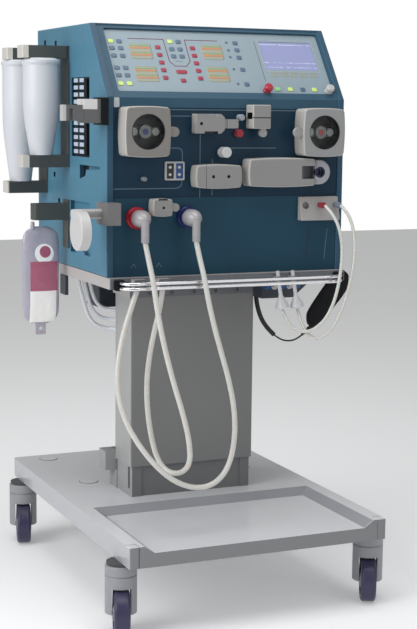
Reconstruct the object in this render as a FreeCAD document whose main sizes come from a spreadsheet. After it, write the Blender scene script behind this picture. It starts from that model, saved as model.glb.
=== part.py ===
import FreeCAD, Part
import math
import operator
import os
import Sketcher
from FreeCAD import Placement, Rotation, Vector

# A bedside dialysis machine on a wheeled stand. Millimetres, +Z up, +X to the machine's right as
# seen from the front, the front facing -Y. The origin is on the floor under the middle of the base.

os.makedirs("parts", exist_ok=True)
doc = FreeCAD.newDocument("dialysis_machine")

SIZES = {
    # Wheeled base
    "base_width": 622, "base_depth": 876, "base_bottom": 159, "base_top": 206, "base_wall": 5,
    "base_corner": 10, "tray_drop": 16, "tray_depth": 330, "tray_margin": 33, "tray_slope": 24,
    "bumper_width": 23, "bumper_depth": 26, "boss_radius": 23, "boss_lift": 1.2,
    # Casters
    "caster_offset": 305, "caster_front": 70, "caster_rear": 810, "wheel_diameter": 100,
    "wheel_width": 35, "hub_width": 39, "hub_radius": 17, "axle_radius": 5, "running_gap": 0.05,
    "fork_radius": 35, "fork_top": 131, "fork_foot": 46, "fork_slot": 42, "fork_roof": 104,
    "fork_back": 4, "caster_trail": 20, "stem_radius": 8, "stem_length": 16, "swivel_gap": 0.3,
    "cap_top": 153, "outrigger_radius": 32,
    # Steel frame inside the base and the column
    "rail_tube": 30, "rail_spacing": 250, "mast_width": 220, "mast_depth": 64, "mast_wall": 5,
    # Column covers
    "column_shift": 8, "column_front": 381, "sleeve_width": 318, "sleeve_depth": 108,
    "sleeve_bottom": 280, "sleeve_wall": 3, "foot_gap": 1.5, "foot_overlap": 30,
    "foot_panel": 258, "foot_recess": 3, "foot_slot_width": 15, "foot_slot_height": 54,
    "gland_width": 366, "gland_depth": 46, "gland_bottom": 250, "gland_top": 297,
    # Plate under the housing, and what hangs from it
    "plate_thickness": 24, "plate_front": 184, "head_height": 46, "head_lip": 4,
    "plug_radius": 6, "plug_spacing": 56.5, "plug_depth": 4,
    "socket_width": 28, "socket_height": 20, "socket_depth": 22, "socket_left": 227,
    "socket_right": 169, "park_left": 114, "park_right": 152, "park_radius": 4.5,
    "park_block": 16, "park_slack": 2, "manifold_left": 114, "manifold_right": 240,
    "manifold_height": 45, "manifold_front": 260, "manifold_depth": 50,
    "supply_drop": 92, "supply_gap": 80,
    "nipple_radius": 5, "nipple_length": 9,
    # Chrome rail
    "rail_rod": 4, "rail_reach": 41, "rail_height": 747, "rail_pitch": 11, "rail_bend": 32,
    "rail_inset": 20, "bracket_width": 22,
    # Housing
    "overall_height": 1310, "housing_width": 580, "housing_depth": 505, "face_setback": 203,
    "housing_bottom": 756, "side_thickness": 14, "panel_inset": 3, "panel_thickness": 6,
    "hood_thickness": 5, "seat_gap": 0.3, "side_round": 4, "seam_height": 930,
    "seam_width": 2, "seam_depth": 1,
    # Sloping console
    "console_tilt": 54, "console_slope": 200, "bezel_thickness": 14, "bezel_lip": 22,
    "window_width": 530, "window_shift": 6, "window_low": 18, "window_high": 190,
    "window_corner": 5, "panel_recess": 8, "key_width": 13, "key_height": 11, "key_lift": 0.6,
    "display_width": 134, "display_height": 80, "display_x": 184, "display_s": 128,
    "red_knob_x": 101, "grey_knob_x": 258, "knob_s": 27,
    "knob_radius": 9, "knob_length": 20, "knob_shaft": 3,
    # Blood pumps
    "pump_width": 100, "pump_height": 104, "pump_crown": 3, "pump_z": 1074, "left_pump_x": 211,
    "right_pump_x": 217, "pump_body_depth": 20, "pump_door_depth": 27, "pump_cavity": 43,
    "pump_floor": 4, "pump_corner": 9, "window_radius": 37, "glass_seat": 3, "glass_thickness": 3,
    "door_lip": 5, "door_gap": 0.4, "tab_radius": 11, "tab_thickness": 9, "tab_reach": 13,
    "rotor_length": 68, "rotor_width": 20, "rotor_depth": 16, "roller_radius": 9,
    "rotor_shaft": 7, "motor_radius": 30, "motor_length": 110,
    # Line modules on the front
    "detector_x": 57, "detector_z": 1092, "detector_length": 67, "detector_height": 43,
    "detector_depth": 14, "detector_lid": 15, "handle_length": 34, "handle_height": 20,
    "clamp_x": 64, "clamp_z": 1108, "clamp_width": 44, "clamp_height": 53, "clamp_depth": 38,
    "clamp_notch": 14, "tongue_radius": 9, "tongue_thickness": 8, "tongue_drop": 36,
    "sensor_x": 37, "sensor_z": 976, "sensor_length": 106, "sensor_height": 48,
    "sensor_depth": 35, "sensor_crown": 3, "sensor_seam": 21, "sensor_hole": 3,
    "syringe_x": 117, "syringe_z": 984, "syringe_length": 163, "syringe_height": 60,
    "syringe_depth": 40, "syringe_crown": 3, "carriage_radius": 28, "carriage_length": 44,
    "carriage_rod": 5,
    "inlet_x": 225.5, "inlet_z": 900, "inlet_length": 99, "inlet_height": 54, "inlet_depth": 22,
    "inlet_thin": 8, "pinch_x": 169, "pinch_z": 909, "pinch_length": 43, "pinch_height": 36,
    "pinch_depth": 16, "pinch_lever": 14, "pinch_handle": 18,
    # Couplings and small fittings on the front
    "red_port_x": 222, "blue_port_x": 102, "port_z": 886, "port_radius": 24, "port_depth": 22,
    "elbow_radius": 19, "elbow_reach": 58, "elbow_end": 836, "elbow_bore": 9,
    "clear_x": 24, "clear_z": 1106, "vent_x": 21, "vent_z": 1071, "white_x": 16,
    "white_z": 1029, "white_radius": 12, "white_depth": 26, "pin_x": 206, "pin_z": 971,
    "pin_radius": 5, "pin_length": 16, "cell_x": 132, "cell_z": 988, "cell_width": 46,
    "cell_height": 41, "cell_depth": 5,
    # Cartridge holders on the left side
    "left_reach": 402, "rear_reach": 390, "holder_rail": 4, "holder_width": 56, "arm_width": 44, "arm_height": 28,
    "arm_tip": 15, "front_holder": 480, "rear_holder": 650, "holder_top": 1264,
    "front_lower_arm": 1001, "rear_lower_arm": 933,
    "cartridge_x": 352, "cartridge_radius": 42, "cartridge_flange": 45, "cartridge_foot": 26,
    "bag_x": 355, "bag_width": 90, "bag_top": 850, "bag_bottom": 620, "bag_depth": 30,
    "bag_tab": 26, "bag_hole": 4, "bag_holder_top": 911, "bag_holder_height": 46,
    # Clamps on the left side
    "upper_clamp_z": 1117, "upper_clamp_y": 221, "clamp_base": 15, "clamp_block": 39,
    "clamp_block_height": 51, "clamp_block_depth": 46, "finger_length": 46, "finger_height": 34,
    "finger_depth": 22, "finger_gap": 8, "lower_clamp_z": 897, "lower_block": 48,
    "lower_block_front": 38, "lower_arm_radius": 11, "disc_x": 375, "disc_y": 162,
    "disc_z": 864, "disc_radius": 42, "disc_thickness": 22,
    # Cuff at the right side, and the lines
    "right_reach": 402, "cuff_y": 365, "cuff_thick": 16, "cuff_round": 6, "hook_reach": 84,
    "hook_thickness": 8, "cuff_hose": 11, "cuff_cord": 4, "hose_diameter": 12,
    "tube_diameter": 7.5, "drain_diameter": 9, "cone_radius": 16, "cone_height": 34,
    "cone_lean": 9.5, "cone_drop": 73,
}


class Size:
    """A length that holds both its value and the sheet expression that gives it."""

    def __init__(self, text, value):
        self.text = text
        self.value = float(value)

    def __float__(self):
        return self.value

    def __add__(self, other):
        return combine(self, "+", other)

    def __radd__(self, other):
        return combine(other, "+", self)

    def __sub__(self, other):
        return combine(self, "-", other)

    def __rsub__(self, other):
        return combine(other, "-", self)

    def __mul__(self, other):
        return combine(self, "*", other)

    def __rmul__(self, other):
        return combine(other, "*", self)

    def __truediv__(self, other):
        return combine(self, "/", other)

    def __neg__(self):
        return combine(0, "-", self)


OPERATIONS = {"+": operator.add, "-": operator.sub, "*": operator.mul, "/": operator.truediv}


def as_size(number):
    """A plain number as a Size, so that both kinds mix in one formula."""
    return number if isinstance(number, Size) else Size(repr(float(number)), number)


def combine(first, sign, second):
    first, second = as_size(first), as_size(second)
    value = OPERATIONS[sign](first.value, second.value)
    return Size(f"({first.text} {sign} {second.text})", value)


def root(number):
    number = as_size(number)
    return Size(f"sqrt({number.text})", math.sqrt(number.value))


def sine(angle):
    return Size(f"sin({angle.text})", math.sin(math.radians(angle.value)))


def cosine(angle):
    return Size(f"cos({angle.text})", math.cos(math.radians(angle.value)))


class Dimensions:
    """The spreadsheet of driving sizes, one named cell for each."""

    def __init__(self, sizes):
        self.sheet = doc.addObject("Spreadsheet::Sheet", "Dims")
        for row, (name, value) in enumerate(sizes.items(), start=1):
            self.sheet.set(f"A{row}", name)
            self.sheet.set(f"B{row}", str(value))
            self.sheet.setAlias(f"B{row}", name)
            setattr(self, name, Size(f"Dims.{name}", value))


size = Dimensions(SIZES)
doc.recompute()
sub_parts = []


def bind(thing, path, number):
    """Ties one property to the sheet, or sets it where it is a plain number."""
    if isinstance(number, Size):
        thing.setExpression(path, number.text)
    elif path.startswith("Placement") or path.startswith("AttachmentOffset"):
        thing.setExpression(path, repr(float(number)))
    else:
        setattr(thing, path, float(number))


def new_body(name, x=0, y=0, z=0, node=True):
    """An empty body at its place; a node body becomes a file of its own."""
    body = doc.addObject("PartDesign::Body", name)
    body.Label = name
    for axis, number in zip("xyz", (x, y, z)):
        if float(number) or isinstance(number, Size):
            bind(body, "Placement.Base." + axis, number)
    if node:
        sub_parts.append(body)
    return body


def group(name, members):
    """Several solids that make one node."""
    together = doc.addObject("Part::Compound", name)
    together.Label = name
    together.Links = members
    sub_parts.append(together)
    return together


def plain_shape(name, shape, node=True):
    """A solid that Part's own functions make, such as a swept rod or tube."""
    feature = doc.addObject("Part::Feature", name)
    feature.Label = name
    feature.Shape = shape
    if node:
        sub_parts.append(feature)
    return feature


def attach(sketch, body, plane, level, turned):
    """Puts a sketch on one of the body's own origin planes, at a level along that axis."""
    role = plane + "_Plane"
    face = [item for item in body.Origin.OriginFeatures if item.Role == role][0]
    sketch.AttachmentSupport = [(face, "")]
    sketch.MapMode = "FlatFace"
    if isinstance(level, Size) or level:
        bind(sketch, "AttachmentOffset.Base.z", -level if turned else level)


def outline(body, plane, points, level=0):
    """A closed sketch through the points. A third entry bulges the side that starts there."""
    sketch = body.newObject("Sketcher::SketchObject", body.Label + "_outline")
    attach(sketch, body, plane, level, plane == "XZ")
    count = len(points)
    ends = []
    for index, point in enumerate(points):
        after = points[(index + 1) % count]
        start = Vector(float(point[0]), float(point[1]), 0)
        stop = Vector(float(after[0]), float(after[1]), 0)
        bulge = float(point[2]) if len(point) > 2 else 0
        if not bulge:
            sketch.addGeometry(Part.LineSegment(start, stop), False)
            ends.append((1, 2))
            continue
        along = (stop - start).normalize()
        middle = (start + stop) * 0.5 + Vector(along.y, -along.x, 0) * bulge
        sketch.addGeometry(Part.Arc(start, middle, stop), False)
        ends.append((1, 2) if bulge > 0 else (2, 1))
    rules = []
    driven = []
    for index, point in enumerate(points):
        before = index - 1 if index else count - 1
        rules.append(Sketcher.Constraint("Coincident", before, ends[before][1], index, ends[index][0]))
        for kind, number in (("DistanceX", point[0]), ("DistanceY", point[1])):
            rules.append(Sketcher.Constraint(kind, -1, 1, index, ends[index][0], float(number)))
            driven.append((len(rules) - 1, number))
        if len(point) > 2 and float(point[2]):
            after = points[(index + 1) % count]
            wide, high = after[0] - as_size(point[0]), after[1] - as_size(point[1])
            bulge = as_size(point[2]) if float(point[2]) > 0 else -as_size(point[2])
            radius = ((wide * wide + high * high) / 4 + bulge * bulge) / (bulge * 2)
            rules.append(Sketcher.Constraint("Radius", index, float(radius)))
            driven.append((len(rules) - 1, radius))
    sketch.addConstraint(rules)
    for index, number in driven:
        if isinstance(number, Size):
            sketch.setExpression(f"Constraints[{index}]", number.text)
    return sketch


def circles(body, plane, spots, level=0):
    """A sketch of circles, each given by its centre and its radius."""
    sketch = body.newObject("Sketcher::SketchObject", body.Label + "_circles")
    attach(sketch, body, plane, level, plane == "XZ")
    for index, (across, up, radius) in enumerate(spots):
        centre = Vector(float(across), float(up), 0)
        sketch.addGeometry(Part.Circle(centre, Vector(0, 0, 1), float(radius)), False)
        sketch.addConstraint([
            Sketcher.Constraint("DistanceX", -1, 1, index, 3, float(across)),
            Sketcher.Constraint("DistanceY", -1, 1, index, 3, float(up)),
            Sketcher.Constraint("Radius", index, float(radius)),
        ])
        for offset, number in enumerate((across, up, radius)):
            if isinstance(number, Size):
                sketch.setExpression(f"Constraints[{index * 3 + offset}]", number.text)
    return sketch


def block(low_x, high_x, low_y, high_y):
    """Corner points of an upright rectangle."""
    return [(low_x, low_y), (high_x, low_y), (high_x, high_y), (low_x, high_y)]


def crowned(width, height, crown):
    """Corner points of a rectangle about the origin whose four sides bulge by the crown."""
    return [(-width / 2, -height / 2, crown), (width / 2, -height / 2, crown),
            (width / 2, height / 2, crown), (-width / 2, height / 2, crown)]


def extrude(body, sketch, length):
    pad = body.newObject("PartDesign::Pad", body.Label + "_pad")
    pad.Profile = sketch
    bind(pad, "Length", length)
    sketch.Visibility = False
    return pad


def add(body, plane, shape, start, end, round_shape=False):
    """Adds the shape from start to end along the axis that the plane faces."""
    make = circles if round_shape else outline
    return extrude(body, make(body, plane, shape, end if plane == "XZ" else start), end - as_size(start))


def cut(body, plane, shape, start, end, round_shape=False):
    """Cuts the shape from start to end along the axis that the plane faces."""
    make = circles if round_shape else outline
    sketch = make(body, plane, shape, start if plane == "XZ" else end)
    pocket = body.newObject("PartDesign::Pocket", body.Label + "_pocket")
    pocket.Profile = sketch
    bind(pocket, "Length", end - as_size(start))
    return pocket


def turn(body, plane, points, upright=True, kind="Revolution"):
    """Turns a profile about the sketch's upright or level axis."""
    sketch = outline(body, plane, points)
    feature = body.newObject("PartDesign::" + kind, body.Label + "_turned")
    feature.Profile = sketch
    feature.ReferenceAxis = (sketch, ["V_Axis" if upright else "H_Axis"])
    feature.Angle = 360
    return feature


def repeat(body, feature, direction, spacing, count):
    """Repeats a feature along its own sketch's axis."""
    pattern = body.newObject("PartDesign::LinearPattern", body.Label + "_row")
    pattern.Originals = [feature]
    pattern.Direction = (feature.Profile[0], [direction])
    bind(pattern, "Length", spacing * (count - 1))
    pattern.Occurrences = count
    body.Tip = pattern
    return pattern


def edges_where(feature, test):
    """Names of the feature's edges that pass the test."""
    doc.recompute()
    return [f"Edge{index}" for index, edge in enumerate(feature.Shape.Edges, start=1) if test(edge)]


def straight(axis):
    """A test for straight edges along one axis."""
    def test(edge):
        if not isinstance(edge.Curve, Part.Line):
            return False
        return abs(abs(edge.Curve.Direction.dot(axis)) - 1) < 1e-6
    return test


def within(edge, axis, level, slack=0.01):
    """Whether the whole edge lies at one level along an axis."""
    box = edge.BoundBox
    low, high = {"x": (box.XMin, box.XMax), "y": (box.YMin, box.YMax), "z": (box.ZMin, box.ZMax)}[axis]
    return abs(low - float(level)) < slack and abs(high - float(level)) < slack


def soften(body, radius, test, kind="Fillet"):
    """Rounds or bevels the edges of the body's last feature that pass the test."""
    base = body.Tip
    names = edges_where(base, test)
    if not names:
        raise RuntimeError(f"{body.Label} has no edge to soften")
    feature = body.newObject("PartDesign::" + kind, body.Label + "_" + kind.lower())
    feature.Base = (base, names)
    bind(feature, "Radius" if kind == "Fillet" else "Size", radius)
    return feature


ALONG_X, ALONG_Y, ALONG_Z = Vector(1, 0, 0), Vector(0, 1, 0), Vector(0, 0, 1)

# Levels that several pieces share
base_front = -size.base_depth / 2
face_y = base_front + size.face_setback
panel_y = face_y + size.panel_inset
back_y = face_y + size.housing_depth
half_housing = size.housing_width / 2
inner_half = half_housing - size.side_thickness
crease_z = size.overall_height - size.console_slope * sine(size.console_tilt)
apex_y = face_y + size.console_slope * cosine(size.console_tilt)
plate_top = size.housing_bottom
plate_bottom = plate_top - size.plate_thickness
plate_front = base_front + size.plate_front
column_x = -size.column_shift
column_y = base_front + size.column_front
deck_z = size.base_top
tray_z = deck_z - size.tray_drop


# Base: a moulded shell with an open tray at the front and a bumper at each front corner
def build_base():
    shell = new_body("base_shell", node=False)
    half = size.base_width / 2
    rear = -base_front
    add(shell, "XY", block(-half, half, base_front, rear), size.base_bottom, deck_z)
    soften(shell, size.base_corner, straight(ALONG_Z))
    tray_back = base_front + size.tray_depth
    beyond = base_front - size.base_wall
    edge = half - size.tray_margin
    top = outline(shell, "XY", block(-edge, edge, beyond, tray_back), deck_z)
    floor = outline(shell, "XY", block(-(edge - size.tray_slope), edge - size.tray_slope, beyond,
                                       tray_back - size.tray_slope), tray_z)
    tray = shell.newObject("PartDesign::SubtractiveLoft", "tray_recess")
    tray.Profile = top
    tray.Sections = [floor]
    wall = size.base_wall
    cut(shell, "XY", block(-(half - wall), half - wall, base_front + wall, rear - wall),
        size.base_bottom, tray_z - wall)
    cut(shell, "XY", block(-(half - wall), half - wall, tray_back + wall, rear - wall),
        tray_z - wall, deck_z - wall)
    mast_edge = size.mast_width / 2 + size.seat_gap
    mast_middle = column_y + size.sleeve_depth / 2
    mast_side = size.mast_depth / 2 + size.seat_gap
    cut(shell, "XY", block(column_x - mast_edge, column_x + mast_edge, mast_middle - mast_side,
                           mast_middle + mast_side), deck_z - size.tray_drop * 2, deck_z)
    boss_spots = [(-208, base_front + 566), (208, base_front + 566), (-229, base_front + 830),
                  (229, base_front + 830)]
    add(shell, "XY", [(x, y, size.boss_radius) for x, y in boss_spots], deck_z,
        deck_z + size.boss_lift, round_shape=True)
    for sign in (-1, 1):
        low, high = sorted((sign * half, sign * (half - size.bumper_width)), key=float)
        cut(shell, "XY", block(low - 1 if sign < 0 else low, high if sign < 0 else high + 1,
                               base_front - 1, base_front + size.bumper_depth),
            size.base_bottom - 1, deck_z + 1)
    bumpers = []
    for name, sign in (("left_bumper", -1), ("right_bumper", 1)):
        bumper = new_body(name, node=False)
        low, high = sorted((sign * half, sign * (half - size.bumper_width + size.seat_gap)), key=float)
        add(bumper, "XY", block(low, high, base_front, base_front + size.bumper_depth - size.seat_gap),
            size.base_bottom, deck_z)
        soften(bumper, size.base_corner / 2,
               lambda edge: straight(ALONG_Z)(edge) and within(edge, "y", base_front))
        soften(bumper, size.base_corner / 5, lambda edge: within(edge, "z", deck_z))
        bumpers.append(bumper)
    group("base_tray", [shell] + bumpers)


# Steel frame: rails and cross members in the base, the mast, and the chassis in the housing
def build_frame():
    frame = new_body("base_frame", node=False)
    low = size.base_bottom
    high = low + size.rail_tube * 0.8
    front = base_front + size.caster_front
    rear = base_front + size.caster_rear
    reach = size.base_width / 2 - size.base_wall - 2
    tube = size.rail_tube / 2
    add(frame, "XY", block(-reach, reach, front - tube, front + tube), low, high)
    add(frame, "XY", block(-reach, reach, rear - tube, rear + tube), low, high)
    middle = size.rail_spacing / 2
    for sign in (-1, 1):
        add(frame, "XY", block(sign * middle - tube, sign * middle + tube, front, rear), low, high)
    mast_middle = column_y + size.sleeve_depth / 2
    add(frame, "XY", block(-middle, middle, mast_middle - size.mast_depth / 2,
                           mast_middle + size.mast_depth / 2), low, high)
    spots = [(sign * size.caster_offset, y, size.outrigger_radius)
             for sign in (-1, 1) for y in (front, rear)]
    for spot in spots:
        add(frame, "XY", [spot], size.cap_top, low, round_shape=True)
    mast = new_body("mast", column_x, mast_middle, 0, node=False)
    wide, deep = size.mast_width / 2, size.mast_depth / 2
    add(mast, "XY", block(-wide, wide, -deep, deep), high, plate_bottom)
    wall = size.mast_wall
    cut(mast, "XY", block(-(wide - wall), wide - wall, -(deep - wall), deep - wall), high, plate_bottom)
    chassis = new_body("chassis", node=False)
    inner = inner_half - 12
    front_wall = panel_y + size.panel_thickness + 30
    rear_wall = back_y - size.hood_thickness - 24
    floor = plate_top
    sheet = 4
    add(chassis, "XY", block(-inner, inner, front_wall, rear_wall), floor, floor + sheet)
    add(chassis, "XY", block(-inner, inner, front_wall, front_wall + sheet), floor, size.pump_z + 60)
    add(chassis, "XY", block(-inner, inner, rear_wall - sheet, rear_wall), floor, size.pump_z + 60)
    add(chassis, "XY", block(-sheet / 2, sheet / 2, front_wall, rear_wall), floor, size.pump_z)
    for x in (-size.left_pump_x, size.right_pump_x):
        add(chassis, "XZ", [(x, size.pump_z, size.motor_radius)], front_wall,
            front_wall + size.motor_length, round_shape=True)
        cut(chassis, "XZ", [(x, size.pump_z, size.rotor_shaft + 1)], front_wall - 1,
            front_wall + 20, round_shape=True)
    group("steel_frame", [frame, mast, chassis])


# Casters: a fixed cap with its stem, a hooded fork that swivels on it, and a wheel on an axle
STEER = {"front_left": -17, "front_right": -26, "rear_left": -14, "rear_right": -22}


def caster_place(corner):
    x = size.caster_offset if corner.endswith("right") else -size.caster_offset
    y = base_front + (size.caster_front if corner.startswith("front") else size.caster_rear)
    return x, y


def build_fork(corner):
    x, y = caster_place(corner)
    fork = new_body(corner + "_fork", x, y)
    fork.Placement = Placement(fork.Placement.Base, Rotation(ALONG_Z, STEER[corner]))
    top = size.fork_top
    add(fork, "XY", [(0, 0, size.fork_radius)], size.fork_foot, top, round_shape=True)
    soften(fork, 4, lambda edge: within(edge, "z", top))
    side = size.fork_slot / 2
    cut(fork, "XY", block(-side, side, -size.fork_radius - 1, size.fork_radius - size.fork_back),
        size.fork_foot - 1, size.fork_roof)
    cut(fork, "XY", [(0, 0, size.stem_radius + size.running_gap)], top - size.stem_length - 1, top,
        round_shape=True)
    axle_z = size.wheel_diameter / 2
    add(fork, "YZ", [(-size.caster_trail, axle_z, size.axle_radius)], -side - 1, side + 1,
        round_shape=True)
    wheel = new_body(corner + "_wheel", x, y)
    wheel.Placement = fork.Placement
    hub, tyre, outer = size.hub_width / 2, size.wheel_width / 2, size.wheel_diameter / 2
    bore = size.axle_radius + size.running_gap
    profile = [(-hub, bore), (hub, bore), (hub, size.hub_radius), (tyre - 4, size.hub_radius + 3),
               (tyre - 4, outer - 16), (tyre, outer - 12), (tyre, outer - 7, 3), (tyre - 9, outer),
               (9 - tyre, outer, 3), (-tyre, outer - 7), (-tyre, outer - 12), (4 - tyre, outer - 16),
               (4 - tyre, size.hub_radius + 3), (-hub, size.hub_radius)]
    turn_at(wheel, profile, -size.caster_trail, axle_z)
    return fork, wheel


def turn_at(body, points, y, z):
    """Turns a profile about an axis along X that passes through y, z."""
    sketch = outline(body, "XZ", points, y)
    bind(sketch, "AttachmentOffset.Base.y", z)
    feature = body.newObject("PartDesign::Revolution", body.Label + "_turned")
    feature.Profile = sketch
    feature.ReferenceAxis = (sketch, ["H_Axis"])
    feature.Angle = 360
    return feature


def build_caps():
    caps = []
    for corner in STEER:
        x, y = caster_place(corner)
        cap = new_body(corner + "_cap", x, y, 0, node=False)
        bottom = size.fork_top + size.swivel_gap
        add(cap, "XY", [(0, 0, size.fork_radius)], bottom, size.cap_top, round_shape=True)
        soften(cap, 5, lambda edge: within(edge, "z", size.cap_top))
        add(cap, "XY", [(0, 0, size.stem_radius)], size.fork_top - size.stem_length, bottom,
            round_shape=True)
        caps.append(cap)
    group("caster_caps", caps)


# Column: an outer sleeve over a narrower foot cover, which has a cable box behind it
def build_column():
    half = size.sleeve_width / 2
    deep = size.sleeve_depth
    wall = size.sleeve_wall
    top = plate_bottom - size.head_height
    sleeve = new_body("column_sleeve", column_x, column_y)
    add(sleeve, "XY", block(-half, half, 0, deep), size.sleeve_bottom, top)
    soften(sleeve, 5, straight(ALONG_Z))
    cut(sleeve, "XY", block(-(half - wall), half - wall, wall, deep - wall), size.sleeve_bottom, top)
    foot = new_body("column_foot_cover", column_x, column_y)
    inset = size.sleeve_wall + size.foot_gap
    edge = half - inset
    high = size.sleeve_bottom + size.foot_overlap
    add(foot, "XY", block(-edge, edge, inset, deep - inset), deck_z, high)
    soften(foot, 3, straight(ALONG_Z))
    cut(foot, "XY", block(-(edge - wall * 2), edge - wall * 2, inset + wall * 2, deep - inset - wall * 2),
        deck_z, high)
    panel = size.foot_panel / 2
    cut(foot, "XY", block(-panel, panel, inset - 1, inset + size.foot_recess), deck_z, high)
    slot = size.foot_slot_width
    low = deck_z + 18
    cut(foot, "YZ", block(inset + slot * 0.6, inset + slot * 1.6, low, low + size.foot_slot_height),
        -edge - 1, -edge + wall)
    gland = size.gland_width / 2
    add(foot, "XY", block(-gland, gland, deep + size.seat_gap, deep + size.gland_depth),
        size.gland_bottom, size.gland_top)
    narrow = edge + size.sleeve_wall
    add(foot, "XY", block(-narrow, narrow, deep - inset - wall, deep + size.gland_depth - wall * 2),
        deck_z, size.gland_bottom)


# Plate that carries the housing, with the column head, hose sockets and parking clips
def build_plate():
    plate = new_body("support_plate")
    half = half_housing
    back = back_y - 4
    add(plate, "XY", block(-half, half, plate_front, back), plate_bottom, plate_top)
    soften(plate, 3, straight(ALONG_Z))
    lip = size.head_lip
    head_half = size.sleeve_width / 2 + lip
    head_low = plate_bottom - size.head_height
    add(plate, "XY", block(column_x - head_half, column_x + head_half, column_y - lip,
                           column_y + size.sleeve_depth + lip), head_low, plate_bottom)
    wide, deep = size.mast_width / 2 + size.seat_gap, size.mast_depth / 2 + size.seat_gap
    middle = column_y + size.sleeve_depth / 2
    cut(plate, "XY", block(column_x - wide, column_x + wide, middle - deep, middle + deep), head_low,
        plate_bottom)
    spots = [(column_x + size.plug_spacing * (step - 2), plate_bottom - size.head_height * 0.75,
              size.plug_radius) for step in range(5)]
    for spot in spots:
        cut(plate, "XZ", [spot], column_y - lip, column_y - lip + size.plug_depth, round_shape=True)
    wide = size.socket_width / 2
    for x in (-size.socket_left, -size.socket_right):
        add(plate, "XY", block(x - wide, x + wide, plate_front - size.socket_depth, plate_front),
            plate_top - size.socket_height, plate_top - 2)
    park = size.park_block / 2
    for x in (size.park_left, size.park_right):
        add(plate, "XY", block(x - park, x + park, plate_front - size.park_block, plate_front),
            plate_bottom + 6, plate_bottom + 16)
        cut(plate, "XY", [(x, plate_front - park - 1, size.park_radius + size.park_slack)],
            plate_bottom, plate_top, round_shape=True)


# Under the plate: the port manifold, the power supply's case, and a bracket for the drain lines
def build_service_ports():
    manifold = new_body("port_manifold", node=False)
    low_x, high_x = size.manifold_left, size.manifold_right
    front = base_front + size.manifold_front
    tall = size.manifold_height
    low = plate_bottom - tall
    points = [(low_x, low), (high_x - tall, low), (high_x, plate_bottom - 8), (high_x, plate_bottom),
              (low_x, plate_bottom)]
    add(manifold, "XZ", points, front, front + size.manifold_depth)
    step = (high_x - low_x - tall * 0.6) / 5
    for index in range(5):
        spot = (low_x + step * (index + 0.6), plate_bottom - tall * 0.4, size.nipple_radius)
        add(manifold, "XZ", [spot], front - size.nipple_length, front, round_shape=True)
    supply = new_body("supply_case", node=False)
    behind = column_y + size.sleeve_depth + size.supply_gap
    add(supply, "XY", block(-180, 96, behind, behind + 96), plate_bottom - size.supply_drop, plate_bottom)
    soften(supply, 4, straight(ALONG_Z))
    bracket = new_body("drain_bracket", node=False)
    add(bracket, "XZ", block(-266, -258, plate_bottom - 58, plate_bottom), behind, behind + 40)
    group("service_ports", [manifold, supply, bracket])


# Chrome rail: two bent rods side by side round the front of the plate, in corner brackets
def rod(points, radius, bend):
    """A round rod along straight runs joined by tangent arcs of one radius."""
    path = rounded_path(points, bend)
    start = path.Edges[0].firstVertex().Point
    aim = path.Edges[0].tangentAt(path.Edges[0].FirstParameter)
    ring = Part.Wire([Part.Circle(start, aim, radius).toShape()])
    return path.makePipeShell([ring], True, False)


def rounded_path(points, bend=None):
    """Straight runs with a tangent arc at each turn: the given radius, or as large as fits."""
    corners = [Vector(*point) for point in points]
    edges = []
    at = corners[0]
    radii = []
    for before, corner, after in zip(corners, corners[1:], corners[2:]):
        back, ahead = before - corner, after - corner
        turn_angle = math.pi - back.getAngle(ahead)
        half_turn = math.tan(turn_angle / 2)
        radius = bend if bend else 0.45 * min(back.Length, ahead.Length) / half_turn
        reach = radius * half_turn
        start = corner + back.normalize() * reach
        stop = corner + ahead.normalize() * reach
        inward = (back + ahead).normalize()
        middle = corner + inward * (math.hypot(radius, reach) - radius)
        edges.append(Part.LineSegment(at, start).toShape())
        edges.append(Part.Arc(start, middle, stop).toShape())
        radii.append(radius)
        at = stop
    edges.append(Part.LineSegment(at, corners[-1]).toShape())
    if not bend:
        print("tightest radius", round(min(radii), 1), "of", len(radii), "turns")
    return Part.Wire(edges)


def build_rail():
    reach = float(plate_front) - float(size.rail_reach)
    side = float(half_housing - size.rail_inset)
    seat = float(plate_front)
    bend = float(size.rail_bend)
    radius = float(size.rail_rod)
    rods = []
    for drop in (0, float(size.rail_pitch)):
        z = float(size.rail_height) - drop
        points = [(-side, seat, z), (-side, reach, z), (side, reach, z), (side, seat, z)]
        rods.append(plain_shape("rod", rod(points, radius, min(bend, (seat - reach) * 0.8)), node=False))
    group("chrome_rail", rods)


# Housing: side covers with recessed details, a top and back hood, and the front panel
def side_profile():
    return [(face_y, plate_top), (back_y, plate_top), (back_y, size.overall_height),
            (apex_y, size.overall_height), (face_y, crease_z)]


def hole_rect(y_low, y_high, z_low, z_high):
    """A rectangle on a side, given by its distances behind the base's front edge and above the floor."""
    return block(base_front + y_low, base_front + y_high, z_low, z_high)


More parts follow.
